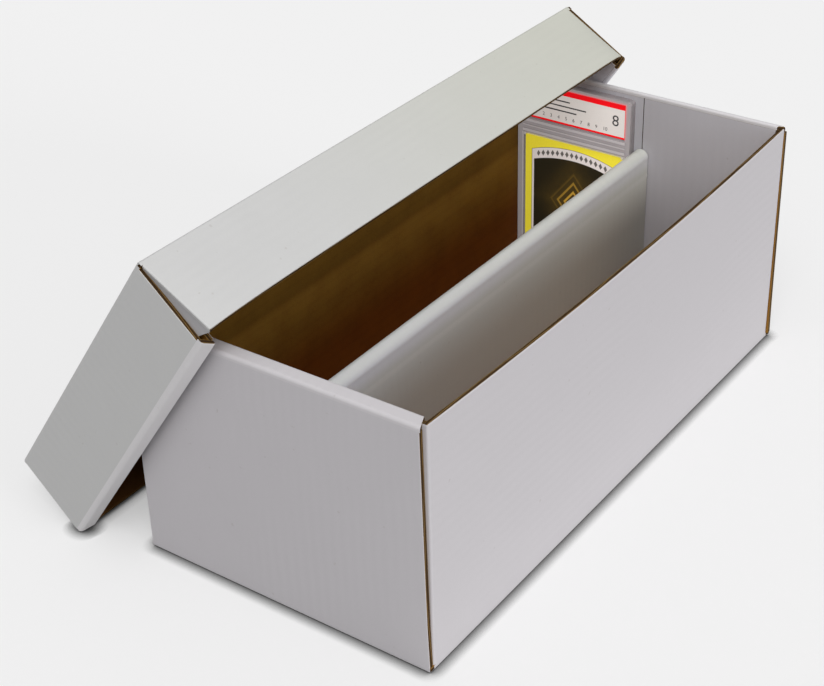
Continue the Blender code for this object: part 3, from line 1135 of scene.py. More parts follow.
@dataclass
class FoldedBlank:
    """One blank of board folded into an open tray with rolled-over end walls.

    Its own frame has the base's underside at z = 0 and the open side up.

    Attributes:
        prefix: The start of the nodes' and pieces' names.
        base_node: The base's node.
        body: The body that it is.
        slot: The record's material slot for its white panels.
        width: Outside width.
        length: Outside length.
        height: Outside height.
        flap_reach: How far a corner flap reaches in from its wall.
        flap_taper: How far a flap's top edge falls.
        side_words: The sides' names in the frame.
        halves: How many inner panels an end has.
        place: From its own frame to the row's.
        strip_cuts: How far each rim strip is cut in at its corners, outside and inside.
        leans: How its long walls lean.
        rises: How far each roll's inner crease stands above its outer one, at each side.
        slack: How its near end has slipped.
        end_cuts: How far an end panel's side is cut in, at its foot and at its rim.
        draws: How far an end wall follows its leaning side wall out at the rim.
        raw_inset: How much of the base's long fold shows raw at each corner.
        liners: White liners that differ, by the kind of panel: lighter and darker copies that paint
            light and shade.
        krafts: Brown liners that differ, by the node, darkened with painted shade.
        tab_width: Width of a lock tab.
        tab_recess: How far a tab ends above the base's underside.
        tab_corner: How far a tab narrows at each side.
        tab_shares: Where the tabs are across the blank, as shares of its width.
        slot_clearance: Play round a tab in its slot.
        seam: What is left open between the halves of an inner wall.
        side_clearance: Play between an inner wall and a long wall.
        rim_radius: How far the outer liner rounds over at the rim strip.
        rim_crush: How far the knife pressed a long wall's top edge round.
        lower_taper_share: How much of the flap's taper its lower edge has.
    """

    prefix: str
    base_node: str
    body: Body
    slot: str
    width: float
    length: float
    height: float
    flap_reach: float
    flap_taper: float
    side_words: dict[Side, str]
    halves: int
    place: Matrix
    strip_cuts: dict[End, tuple[float, float]]
    leans: dict[Side, Lean] = field(default_factory=dict)
    rises: dict[End, tuple[float, float]] = field(default_factory=dict)
    slack: Slack | None = None
    end_cuts: dict[tuple[Side, End], tuple[float, float]] = field(default_factory=dict)
    draws: dict[tuple[Side, End], float] = field(default_factory=dict)
    raw_inset: float = 3.3 * MM
    liners: dict[Panel, Material] = field(default_factory=dict)
    krafts: dict[str, Material] = field(default_factory=dict)
    tab_width: float = 36.0 * MM
    tab_recess: float = 0.4 * MM
    tab_corner: float = 2.0 * MM
    tab_shares: tuple[float, float] = (-0.25, 0.25)
    slot_clearance: float = 0.4 * MM
    seam: float = 0.5 * MM
    side_clearance: float = 0.3 * MM
    rim_radius: float = 1.9 * MM
    rim_crush: float = 0.6 * MM
    lower_taper_share: float = 0.25

    @property
    def roll(self) -> float:
        """Depth of a rolled-over end wall."""
        return 3 * BOARD + 2 * GAP

    @property
    def crease(self) -> float:
        """How far a crease takes a panel in from the outside."""
        return BOARD + GAP

    @property
    def reach(self) -> float:
        """Half a long wall's length."""
        return self.length / 2 - self.crease

    @property
    def columns(self) -> list[float]:
        """Where an end wall is divided across."""
        return [self.width * step / 8 for step in range(-3, 4)]

    def foot(self, side: Side) -> Vector:
        """A point on a long wall's crease."""
        return Vector((side * self.width / 2, 0, 0))

    def base(self) -> BoardPanel:
        """The bottom panel with its rounded folds and its lock slots.

        Returns:
            The panel, in the blank's own frame.
        """
        half, reach = Vector((self.width / 2, self.length / 2, 0)), self.reach
        panel = BoardPanel(
            -half, half + Z_AXIS * BOARD, -Z_AXIS, Y_AXIS,
            folds=(X_AXIS, -X_AXIS, Y_AXIS, -Y_AXIS), raw_corner=self.length / 2 - self.raw_inset,
        )
        shape = panel.shape
        panel.round_folds()
        divide(shape, Y_AXIS, sorted({-reach, reach, -panel.raw_corner, panel.raw_corner}))
        if self.slack:
            divide(shape, Y_AXIS, self.slack.rings(self.length))
        for lean in self.leans.values():
            divide(shape, Y_AXIS, (end * (reach - gap) for end in End for gap in lean.rings))
        play = self.slot_clearance
        slot_half = Vector((self.tab_width / 2 + play, BOARD / 2 + play, 0))
        slot_y = self.length / 2 - self.roll + BOARD / 2
        for end in End:
            for share in self.tab_shares:
                panel.pierce(Vector((share * self.width, end * slot_y, 0)), slot_half)
        for vert in shape.verts:
            if abs(vert.co.y) > reach + GAP and abs(vert.co.x) > self.width / 2 - BOARD:
                vert.co += self.end_cut(End.of(vert.co.y), vert.co) / 2
        panel.dress()
        for side, lean in self.leans.items():
            foot = self.foot(side)
            for vert in shape.verts:
                if abs(vert.co.y) > reach + GAP:
                    continue
                bulge = lean.bulge_at(vert.co, foot, reach, self.height)
                if (vert.co - foot).dot(X_AXIS * side) > -GAP and vert.co.z > GAP:
                    vert.co = turned(side * lean.at(vert.co.y, reach), "Y", foot) @ vert.co
                vert.co += bulge
        return panel

    def wall(self, side: Side) -> BoardPanel:
        """A long wall with a raw top edge and rounded corners, bowed or leaning if it is so.

        Args:
            side: Which wall.

        Returns:
            The panel, in the blank's own frame.
        """
        outer, reach = side * self.width / 2, self.reach
        inner = outer - side * BOARD
        panel = BoardPanel(
            *corners((outer, inner), (-reach, reach), (BOARD, self.height)), X_AXIS * side, Y_AXIS,
            folds=(Y_AXIS, -Y_AXIS), joints=(-Z_AXIS,), crushed=self.rim_crush,
        )
        panel.round_folds()
        panel.crush_edges()
        lean = self.leans.get(side)
        if lean:
            rings = (end * (reach - gap) for end in End for gap in lean.rings)
            divide(panel.shape, Y_AXIS, rings)
            rise = (self.height - BOARD) / 4
            divide(panel.shape, Z_AXIS, (BOARD + rise * step for step in range(1, 4)))
        elif self.slack:
            divide(panel.shape, Y_AXIS, self.slack.rings(self.length))
        panel.dress()
        self.lean_out(panel, side)
        return panel

    def lean_out(self, panel: BoardPanel, side: Side) -> None:
        """Turn a panel out about its wall's crease, as far as the wall leans at each place.

        Args:
            panel: The wall or one of its flaps.
            side: Which wall.
        """
        lean = self.leans.get(side)
        if not lean:
            return
        foot = self.foot(side)
        for vert in panel.shape.verts:
            bulge = lean.bulge_at(vert.co, foot, self.reach, self.height)
            raised = max(0.0, vert.co.z - BOARD) / (self.height - BOARD)
            vert.co.z -= lean.dip_at(vert.co.y, self.reach) * raised
            lean_here = side * lean.at(vert.co.y, self.reach)
            vert.co = turned(lean_here, "Y", foot) @ vert.co + bulge

    def flap(self, side: Side, end: End) -> BoardPanel:
        """A corner flap, turned in from its wall inside the end wall.

        Args:
            side: The wall that it hangs on.
            end: The end that it is in.

        Returns:
            The panel, in the blank's own frame.
        """
        root = side * (self.width / 2 - BOARD)
        tip = side * (self.width / 2 - self.crease - self.flap_reach)
        outer = end * self.reach
        bottom, top = self.crease, self.height - BOARD - 2 * GAP
        low, high = corners((root, tip), (outer, outer - end * BOARD), (bottom, top))
        panel = BoardPanel(low, high, Y_AXIS * end, X_AXIS, joints=(X_AXIS * side,))
        for height, drop in (
            (top, -self.flap_taper), (bottom, self.flap_taper * self.lower_taper_share)
        ):
            slope = Vector((-side * abs(tip - root), 0, drop)).normalized()
            beyond = slope.cross(Y_AXIS)
            beyond = beyond if beyond.z * drop < 0 else -beyond
            panel.trim(Vector((root, 0, height)), beyond)
        bmesh.ops.recalc_face_normals(panel.shape, faces=panel.shape.faces)
        panel.crush_edges()
        if side in self.leans:
            divide(panel.shape, X_AXIS, (root - side * gap for gap in self.leans[side].root_rings))
            panel.bend(lambda place: self.root_rise(place, root, top))
        panel.dress()
        self.lean_out(panel, side)
        return panel

    def root_rise(self, place: Vector, root: float, top: float) -> Vector:
        """How far a flap's top edge sweeps up to the wall's rim, at a place.

        Args:
            place: The place on the flap.
            root: Where the flap hangs on its wall, across the blank.
            top: The flap's top edge.

        Returns:
            The move.
        """
        near_root = max(0.0, 1.0 - abs(place.x - root) / self.roll)
        return Z_AXIS * (self.height - top) * near_root * max(0.0, place.z / top - 0.5) * 2.0

    def end_panel(self, end: End) -> BoardPanel:
        """The outer end panel, whose raw sides show at the corners.

        Args:
            end: Which end.

        Returns:
            The panel, in the blank's own frame.
        """
        half, outer = self.width / 2, end * self.length / 2
        levels = (BOARD, self.height - BOARD)
        low, high = corners((-half, half), (outer, outer - end * BOARD), levels)
        panel = BoardPanel(low, high, Y_AXIS * end, Z_AXIS, joints=(Z_AXIS, -Z_AXIS))
        panel.crush_edges()
        divide(panel.shape, Z_AXIS, (self.height * step / 6 for step in range(1, 6)))
        divide(panel.shape, X_AXIS, self.columns)
        panel.dress()
        panel.bend(
            lambda place: self.end_cut(end, place) * min(1.0, abs(place.x) / half)
            + self.drawn_out(end, place)
        )
        return panel

    def drawn_out(self, end: End, place: Vector) -> Vector:
        """How far a place on an end wall follows its leaning side wall out at the rim.

        Args:
            end: Which end.
            place: The place.

        Returns:
            The move.
        """
        side = Side.of(place.x)
        across, up = min(1.0, abs(place.x) * 2 / self.width), held(place.z / self.height)
        return X_AXIS * side * self.draws.get((side, end), 0.0) * across * up

    def end_cut(self, end: End, place: Vector) -> Vector:
        """How far an end panel's side edge is cut in, at a place on it or on the base.

        Args:
            end: Which end.
            place: The place.

        Returns:
            The move.
        """
        side = Side.of(place.x)
        at_foot, at_rim = self.end_cuts.get((side, end), (0.0, 0.0))
        up = held((place.z - BOARD) / self.height)
        return X_AXIS * -side * (at_foot + (at_rim - at_foot) * up**0.6)

    def rise(self, end: End, place: Vector) -> float:
        """How far the roll's inner crease stands above its outer one, at a place across it."""
        low, high = self.rises.get(end, (0.0, 0.0))
        return low + (high - low) * (0.5 - place.x / self.width)

    def rim_strip(self, end: End) -> BoardPanel:
        """The flat strip between two creases that caps an end wall, cut in at its corners.

        Args:
            end: Which end.

        Returns:
            The panel, in the blank's own frame.
        """
        half, outer = self.width / 2, end * self.length / 2
        levels = (self.height - BOARD, self.height)
        panel = BoardPanel(
            *corners((-half, half), (outer, outer - end * self.roll), levels), Z_AXIS, Y_AXIS,
            folds=(Y_AXIS, -Y_AXIS), fold_radius=self.rim_radius,
        )
        panel.round_folds(6)
        panel.crush_edges()
        divide(panel.shape, Y_AXIS, (outer - end * self.roll / 2,))
        divide(panel.shape, X_AXIS, self.columns)
        panel.dress()
        cut_outside, cut_inside = self.strip_cuts[end]
        for vert in panel.shape.verts:
            inset = abs(outer - vert.co.y) / self.roll
            vert.co.x *= (half - cut_outside - (cut_inside - cut_outside) * inset) / half
        panel.bend(
            lambda place: Z_AXIS * self.rise(end, place) * abs(outer - place.y) / self.roll
            + self.drawn_out(end, place)
        )
        return panel

    def inner_panels(self, end: End) -> list[tuple[str, BoardPanel]]:
        """The rolled-over inner wall in one panel or two, with its lock tabs.

        Args:
            end: Which end.

        Returns:
            Each panel's node and the panel, in the blank's own frame.
        """
        face = end * (self.length / 2 - self.roll)
        reach = self.width / 2 - BOARD - self.side_clearance
        spans = [("panel", -reach, reach, self.tab_shares)]
        if self.halves == 2:
            spans = [
                (self.side_words[side], side * self.seam / 2, side * reach, (share,))
                for side, share in zip(Side, self.tab_shares)
            ]
        made = []
        for word, start, stop, shares in spans:
            levels = (self.crease, self.height - BOARD)
            low, high = corners((start, stop), (face, face + end * BOARD), levels)
            panel = BoardPanel(low, high, Y_AXIS * -end, Z_AXIS, joints=(Z_AXIS,))
            panel.crush_edges()
            for share in shares:
                self.add_tab(panel, share * self.width)
            panel.dress()
            panel.bend(
                lambda place: Z_AXIS * self.rise(end, place) * max(0.0, place.z / self.height)
                + self.drawn_out(end, place)
            )
            made.append((f"{self.prefix}_{end.name.lower()}_inner_{word}", panel))
        return made

    def add_tab(self, panel: BoardPanel, centre: float) -> None:
        """Add a lock tab below an inner panel, narrowed towards its tip.

        Args:
            panel: The inner panel.
            centre: The tab's middle across the blank.
        """
        half = self.tab_width / 2
        low = Vector((centre - half, panel.low.y, self.tab_recess))
        high = Vector((centre + half, panel.high.y, self.crease + BOARD))
        for vert in add_block(panel.shape, low, high):
            if vert.co.z < self.crease:
                vert.co.x = centre + math.copysign(half - self.tab_corner, vert.co.x - centre)

    def build(self, bench: Bench, board: Board) -> None:
        """Build and dress every panel.

        Args:
            bench: Where pieces are finished.
            board: The board's three materials.
        """
        panels = [(self.base_node, Panel.BASE, self.base())]
        for side in Side:
            word = self.side_words[side]
            panels.append((f"{self.prefix}_{word}_wall", Panel.WALL, self.wall(side)))
            for end in End:
                node = f"{self.prefix}_{end.name.lower()}_{word}_flap"
                panels.append((node, Panel.FLAP, self.flap(side, end)))
        for end in End:
            node = f"{self.prefix}_{end.name.lower()}"
            rim = Panel(f"{end.name.lower()}_rim")
            panels.append((f"{node}_end_panel", Panel.END, self.end_panel(end)))
            panels.append((f"{node}_rim_strip", rim, self.rim_strip(end)))
            panels += [(node, Panel.INNER, panel) for node, panel in self.inner_panels(end)]
        liner, kraft, raw = board
        for node, kind, panel in panels:
            if self.slack:
                sizes = (self.width, self.length, self.height)
                panel.bend(lambda place: self.slack.move(place, *sizes))
            bmesh.ops.transform(panel.shape, matrix=self.place, verts=panel.shape.verts)
            slot = "flap_board" if kind is Panel.FLAP else self.slot
            materials = (self.liners.get(kind, liner), self.krafts.get(node, kraft), raw)
            bench.finish(panel.shape, Piece(f"{node}_board", self.body, slot, (node,)), materials)


@dataclass
class Divider:
    """The strip of board folded over into two leaves that parts the rows.

    Attributes:
        thickness: Over both leaves.
        height: From its foot to its round top.
        length: Along the rows.
        foot: The level that it stands on.
        score_drop: How far below the top the press left a line.
        score_rise: How far the line stands out.
        score_half: Half the line's width.
        steps: How many facets its round top has.
    """

    thickness: float = 10.0 * MM
    height: float = 109.0 * MM
    length: float = 360.6 * MM
    foot: float = BOARD + GAP
    score_drop: float = 17.0 * MM
    score_rise: float = 0.35 * MM
    score_half: float = 1.2 * MM
    steps: int = 20

    @property
    def shoulder(self) -> float:
        """The level at which the round top starts."""
        return self.foot + self.height - self.thickness / 2

    def leaf(self, side: Side) -> BoardPanel:
        """One leaf, with the faint line that the press left along it.

        Args:
            side: Which leaf.

        Returns:
            The panel.
        """
        outer, half = side * self.thickness / 2, self.length / 2
        spans = ((outer, outer - side * BOARD), (-half, half), (self.foot, self.shoulder - GAP))
        panel = BoardPanel(*corners(*spans), X_AXIS * side, Z_AXIS, joints=(Z_AXIS,))
        panel.crush_edges()
        line = self.foot + self.height - self.score_drop
        divide(panel.shape, Z_AXIS, (line - self.score_half, line, line + self.score_half))
        panel.dress()
        for vert in panel.shape.verts:
            if abs(vert.co.z - line) < self.score_half / 2 and abs(vert.co.x - outer) < BOARD / 2:
                vert.co.x += side * self.score_rise
        return panel

    def top_fold(self) -> BoardPanel:
        """The round top, spun from the leaf's cut end, with a short run down each leaf.

        Returns:
            The panel.
        """
        low = Vector((self.thickness / 2 - BOARD, -self.length / 2, self.shoulder - GAP))
        high = Vector((self.thickness / 2, self.length / 2, self.shoulder))
        panel = BoardPanel(low, high, X_AXIS, Z_AXIS)
        shape = panel.shape
        crown = [face for face in shape.faces if face.normal.z > FACING]
        spun = bmesh.ops.spin(
            shape, geom=crown, cent=(0, 0, self.shoulder), axis=(0, -1, 0), angle=math.pi,
            steps=self.steps, use_merge=False,
        )
        run = bmesh.ops.extrude_face_region(shape, geom=only(BMFace, spun["geom_last"]))
        bmesh.ops.translate(shape, vec=(0, 0, -GAP), verts=only(BMVert, run["geom"]))
        inside = [face for face in shape.faces if self.is_lost(face)]
        bmesh.ops.delete(shape, geom=inside, context="FACES")
        bmesh.ops.remove_doubles(shape, verts=shape.verts, dist=0.01 * MM)
        bmesh.ops.recalc_face_normals(shape, faces=shape.faces)
        self.dress_fold(shape)
        return panel

    def is_lost(self, face: BMFace) -> bool:
        """Tell whether the sweep left a face inside the fold.

        Args:
            face: The face.

        Returns:
            True where it did.
        """
        centre = face.calc_center_median()
        flat = abs(face.normal.z) > FACING and abs(centre.z - self.shoulder) < GAP / 4
        return flat and abs(abs(centre.x) - self.thickness / 2 + BOARD / 2) < BOARD / 4

    def dress_fold(self, shape: BMesh) -> None:
        """Give the round top its liners and its raw ends.

        Args:
            shape: The round top's mesh.
        """
        shape.normal_update()
        layer = shape.loops.layers.uv.new(SHEET_MAP)
        radius = self.thickness / 2
        for face in shape.faces:
            raw = abs(face.normal.y) > 0.7
            is_outside = self.from_bend(face.calc_center_median()).length > radius - BOARD / 2
            kind = Surface.RAW if raw else Surface.OUTER if is_outside else Surface.INNER
            face.material_index = int(kind)
            for loop in face.loops:
                spot, along = self.from_bend(loop.vert.co), loop.vert.co.y / MM
                turn, depth = math.atan2(spot.z, spot.x) * radius / MM, (radius - spot.length) / MM
                loop[layer].uv = (turn * DRAWN_OUT, depth) if raw else (along, turn)

    def from_bend(self, place: Vector) -> Vector:
        """A place's way from the middle of the bend, flat where it is on the short run."""
        return Vector((place.x, 0, max(place.z - self.shoulder, 0)))

    def build(self, bench: Bench, board: Board) -> None:
        """Build and dress the divider.

        Args:
            bench: Where pieces are finished.
            board: The board's three materials.
        """
        parts = (
            ("divider_left_leaf", self.leaf(Side.LOW_X)),
            ("divider_right_leaf", self.leaf(Side.HIGH_X)),
            ("divider_top_fold", self.top_fold()),
        )
        for node, panel in parts:
            piece = Piece(f"{node}_board", Body.DIVIDER, "divider_board", (node,))
            bench.finish(panel.shape, piece, board)


# ---- The card holder


@dataclass(frozen=True)
class Inlay:
    """A flat printed piece in the holder.

    Attributes:
        width: Its width.
        height: Its height.
        thickness: Its thickness.
        below_top: From the holder's top to its own.
    """

    width: float
    height: float
    thickness: float
    below_top: float


@dataclass
class CardHolder:
    """The hard two-part holder with its label and its card, at the far end of a row.

    Attributes:
        centre_x: The holder's middle across the tray.
        back_y: Its back face.
        foot: The level that it stands on.
        width: Its width.
        height: Its height.
        back_thickness: The back shell's thickness.
        front_thickness: The front shell's thickness, with its rim.
        part_gap: What is left open between the shells.
        corner: The radius of its corners.
        rim_width: The width of the raised rim.
        rim_height: How far the rim stands out.
        card: The card.
        label: The label.
        inlay_corner: The radius of the card's and the label's corners.
        play: Play round the card and the label in their pockets.
        ribs: The ribs between the windows: below the holder's top, and half their width.
        rib_reach: Half the ribs' length.
        rail: The rails by the card's window, as distances out from the card's edge.
        clip: The clips on the card's upper corners, as distances out from the card's edge.
        clip_half: Half a clip's height.
    """

    centre_x: float = -47.0 * MM
    back_y: float = 180.6 * MM
    foot: float = BOARD + GAP
    width: float = 83.0 * MM
    height: float = 141.0 * MM
    back_thickness: float = 3.6 * MM
    front_thickness: float = 2.1 * MM
    part_gap: float = 0.3 * MM
    corner: float = 2.5 * MM
    rim_width: float = 2.4 * MM
    rim_height: float = 0.5 * MM
    card: Inlay = Inlay(74.0 * MM, 98.0 * MM, 0.6 * MM, 39.0 * MM)
    label: Inlay = Inlay(75.0 * MM, 24.6 * MM, 0.5 * MM, 2.6 * MM)
    inlay_corner: float = 0.8 * MM
    play: float = 0.3 * MM
    ribs: tuple[tuple[float, float], ...] = (
        (29.0 * MM, 0.9 * MM), (32.6 * MM, 0.45 * MM), (36.2 * MM, 0.9 * MM)
    )
    rib_reach: float = 38.0 * MM
    rail: tuple[float, float] = (0.4 * MM, 1.3 * MM)
    clip: tuple[float, float] = (-1.6 * MM, 0.2 * MM)
    clip_half: float = 1.0 * MM

    @property
    def top(self) -> float:
        """The level of the holder's top."""
        return self.foot + self.height

    @property
    def bed(self) -> float:
        """Where the back shell's front face is, along the row."""
        return self.back_y - self.back_thickness

    @property
    def window(self) -> float:
        """Where the front shell's windows face the near end, along the row."""
        return self.bed - self.part_gap - self.front_thickness + self.rim_height

    def block(
        self, span: tuple[float, float], depth: tuple[float, float], levels: tuple[float, float]
    ) -> tuple[Vector, Vector]:
        """The least and the greatest corner of a block, its span from the holder's middle."""
        return corners([self.centre_x + side for side in span], depth, levels)

    def slab(
        self, width: float, depth: tuple[float, float], levels: tuple[float, float],
        corner: float, segments: int,
    ) -> BMesh:
        """A slab with round corners in the middle of the holder.

        Args:
            width: Its width.
            depth: Its front and its back, along the row.
            levels: Its lowest and its highest level.
            corner: The radius of its corners.
            segments: How many facets a corner has.

        Returns:
            The slab's mesh.
        """
        shape = bmesh.new()
        add_block(shape, *self.block((-width / 2, width / 2), depth, levels))
        ends = [(edge, edge.verts[0].co - edge.verts[1].co) for edge in shape.edges]
        posts = [edge for edge, run in ends if abs(run.y) > max(abs(run.x), abs(run.z))]
        round_edges(shape, posts, corner, segments)
        return shape

    def sink(self, shape: BMesh, inlay: Inlay) -> None:
        """Sink a pocket for an inlay into the front of the back shell.

        Args:
            shape: The shell's mesh.
            inlay: What goes into it.
        """
        half = inlay.width / 2 + self.play
        high = self.top - inlay.below_top + self.play
        low = high - inlay.height - 2 * self.play
        divide(shape, X_AXIS, (self.centre_x - half, self.centre_x + half))
        divide(shape, Z_AXIS, (low, high))
        shape.normal_update()
        inside = []
        for face in shape.faces:
            centre = face.calc_center_median()
            in_pocket = abs(centre.x - self.centre_x) < half and low < centre.z < high
            if face.normal.y < -FACING and in_pocket and centre.y < self.bed + self.play:
                inside.append(face)
        pushed = bmesh.ops.extrude_face_region(shape, geom=inside)
        down = (0, inlay.thickness + self.play, 0)
        bmesh.ops.translate(shape, vec=down, verts=only(BMVert, pushed["geom"]))
        old = [face for face in inside if face.is_valid]
        bmesh.ops.delete(shape, geom=old, context="FACES_ONLY")

    def back_shell(self) -> BMesh:
        """The back shell, with pockets for the card and the label.

        Returns:
            The mesh.
        """
        levels = (self.foot, self.top)
        shape = self.slab(self.width, (self.bed, self.back_y), levels, self.corner, 6)
        for inlay in (self.card, self.label):
            self.sink(shape, inlay)
        return shape

    def front_shell(self) -> BMesh:
        """The front shell, with its raised rim, two windows and the ribs between them.

        Returns:
            The mesh, whose raised faces are in the second material slot.
        """
        depth = (self.window - self.rim_height, self.bed - self.part_gap)
        shape = self.slab(self.width, depth, (self.foot, self.top), self.corner, 6)
        shape.normal_update()
        fronts = [face for face in shape.faces if face.normal.y < -FACING]
        front = max(fronts, key=lambda face: face.calc_area())
        bmesh.ops.inset_region(
            shape, faces=[front], thickness=self.rim_width, depth=-self.rim_height
        )
        head, edge = self.top - self.card.below_top, self.card.width / 2
        for side in Side:
            rail = tuple(side * (edge + out) for out in self.rail)
            self.add_bar(shape, rail, (head - self.card.height, head + self.rail[1]))
        for below_top, half in self.ribs:
            level = self.top - below_top
            self.add_bar(shape, (-self.rib_reach, self.rib_reach), (level - half, level + half))
        for side in Side:
            clip = tuple(side * (edge + out) for out in self.clip)
            self.add_bar(shape, clip, (head - self.clip_half, head + self.clip_half))
        for face in shape.faces:
            is_out = face.calc_center_median().y < self.window - self.rim_height / 2
            face.material_index = int(face.normal.y < -0.5 and is_out)
        return shape

    def add_bar(
        self, shape: BMesh, span: tuple[float, float], levels: tuple[float, float]
    ) -> None:
        """Add a low rounded bar to the front of the shell.

        Args:
            shape: The shell's mesh.
            span: Its two ends across the holder, from its middle.
            levels: Its lowest and its highest level.
        """
        depth = (self.window - self.rim_height * 0.8, self.window + self.part_gap)
        verts = add_block(shape, *self.block(span, depth, levels))
        front = [
            edge for edge in {edge for vert in verts for edge in vert.link_edges}
            if max(vert.co.y for vert in edge.verts) < self.window - self.rim_height / 2
        ]
        round_edges(shape, front, self.rim_height * 0.4, 3)

    def print_inlay(self, inlay: Inlay) -> BMesh:
        """A printed piece in its pocket, with its own map in millimetres.

        Args:
            inlay: Which piece.

        Returns:
            The mesh.
        """
        high = self.top - inlay.below_top
        low = high - inlay.height
        depth = (self.bed, self.bed + inlay.thickness)
        shape = self.slab(inlay.width, depth, (low, high), self.inlay_corner, 4)
        layer = shape.loops.layers.uv.new(SHEET_MAP)
        for face in shape.faces:
            for loop in face.loops:
                spot = loop.vert.co
                loop[layer].uv = ((spot.x - self.centre_x) / MM, (spot.z - low) / MM)
        return shape

    def add_figure(self, ink: BMesh, text: str, size: float, spot: tuple[float, float]) -> None:
        """Add a plain number in thin ink to the label.

        Args:
            ink: The mesh of all the label's ink.
            text: The number.
            size: The height of its line.
            spot: Its left edge from the label's middle, and its foot above the lower edge.
        """
        curve = bpy.data.curves.new("figure", "FONT")
        curve.body = text
        curve.size = size
        curve.extrude = 0.02 * MM
        writing = stand("figure", curve)
        depsgraph = bpy.context.evaluated_depsgraph_get()
        mesh = bpy.data.meshes.new_from_object(writing.evaluated_get(depsgraph))
        bpy.data.objects.remove(writing, do_unlink=True)
        bpy.data.curves.remove(curve)
        foot = self.top - self.label.below_top - self.label.height + spot[1]
        place = Matrix.Translation((self.centre_x + spot[0], self.bed - 0.03 * MM, foot))
        mesh.transform(place @ Matrix.Rotation(math.radians(90), 4, "X"))
        ink.from_mesh(mesh)
        bpy.data.meshes.remove(mesh)

    def print_label(self) -> BMesh:
        """The ink on the label: the grade, a scale from one to ten and three ruled lines.

        Returns:
            One mesh of all of it.
        """
        ink = bmesh.new()
        self.add_figure(ink, "8", 10.5 * MM, (27.0 * MM, 8.2 * MM))
        size, start, pitch = 3.4 * MM, -35.5 * MM, 5.6 * MM
        for grade in range(1, 11):
            self.add_figure(ink, str(grade), size, (start + pitch * grade, size))
        left, bold, apart = -30.0 * MM, 0.9 * MM, 3.4 * MM
        level = self.top - self.label.below_top - self.label.height + 15.6 * MM
        depth = (self.bed - 0.05 * MM, self.bed - 0.01 * MM)
        for run in (26.0 * MM, 38.0 * MM, 31.0 * MM):
            add_block(ink, *self.block((left, left + run), depth, (level, level + bold)))
            level -= apart
        return ink

    def build(self, bench: Bench) -> None:
        """Build and dress the holder.

        Args:
            bench: Where pieces are finished.
        """
        card, label = self.card, self.label
        windows = []
        for part in (card, label):
            middle = self.top - part.below_top - part.height / 2
            windows.append((self.centre_x, middle, part.width / 2, part.height / 2))
        shell = ShellFinish("clear_shell", (0.46, 0.425, 0.435), 0.55, tuple(windows)).build()
        # Partly real and partly painted highlight: the raised ribs, rails and clips are frosted
        # plastic, made paler and cloudier than the shell so that they show as light lines.
        ribs = ShellFinish("shell_ribs", (0.52, 0.485, 0.495), 0.80).build()
        label_print = LabelFinish("label_print", label.width / MM, label.height / MM).build()
        card_print = CardFinish("card_print", card.width / MM, card.height / MM).build()
        ink = InkFinish("black_ink", (0.03, 0.028, 0.03)).build()
        parts = (
            ("holder_back_shell", "holder_shell", self.back_shell(), (shell,)),
            ("holder_front_shell", "holder_shell", self.front_shell(), (shell, ribs)),
            ("holder_card", "card_stock", self.print_inlay(card), (card_print,)),
            ("holder_label", "label_paper", self.print_inlay(label), (label_print,)),
        )
        for node, slot, shape, materials in parts:
            bmesh.ops.recalc_face_normals(shape, faces=shape.faces)
            bench.finish(shape, Piece(f"{node}_piece", Body.HOLDER, slot, (node,)), materials)
        numbers = Piece("holder_label_numbers", Body.HOLDER, "label_paper")
        bench.finish(self.print_label(), numbers, (ink,))


# ---- The studio


@dataclass(frozen=True)
class Lamp:
    """A wide soft lamp, far away.

    Attributes:
        name: What it is called.
        strength: Its light on a surface that faces it.
        source: The way to it.
        spread: How wide it is, in degrees.
    """

    name: str
    strength: float
    source: tuple[float, float, float]
    spread: float

    def build(self) -> None:
        """Hang the lamp."""
        data = bpy.data.lights.new(self.name, "SUN")
        data.energy = self.strength * math.pi
        data.angle = math.radians(self.spread)
        stand(self.name, data, Vector(self.source).to_track_quat("Z", "Y").to_matrix().to_4x4())


@dataclass(frozen=True)
class Spot:
    """A small soft spot that picks out the holder in the shade of the lid.

    Attributes:
        place: Where it stands.
        target: Where it points.
        strength: Its light on a surface that faces it, at the target.
        cone: Its whole angle in degrees.
        blend: How much of the cone's edge is soft.
        size: The lamp's radius.
    """

    place: tuple[float, float, float]
    target: tuple[float, float, float]
    strength: float
    cone: float
    blend: float = 0.2
    size: float = 6.0 * MM

    def build(self) -> None:
        """Hang the spot, so that it lights the holder's pieces alone."""
        way = Vector(self.place) - Vector(self.target)
        data = bpy.data.lights.new("holder_spot", "SPOT")
        data.energy = self.strength * 4.0 * math.pi**2 * way.length_squared
        data.spot_size = math.radians(self.cone)
        data.spot_blend = self.blend
        data.shadow_soft_size = self.size
        lit = bpy.data.collections.new("lit_by_spot")
        for piece in bpy.context.scene.objects:
            if piece.name.startswith("holder_") and piece.type == "MESH":
                lit.objects.link(piece)
        turn = way.to_track_quat("Z", "Y").to_matrix().to_4x4()
        obj = stand("holder_spot", data, Matrix.Translation(self.place) @ turn)
        obj.visible_camera = False
        obj.light_linking.receiver_collection = lit


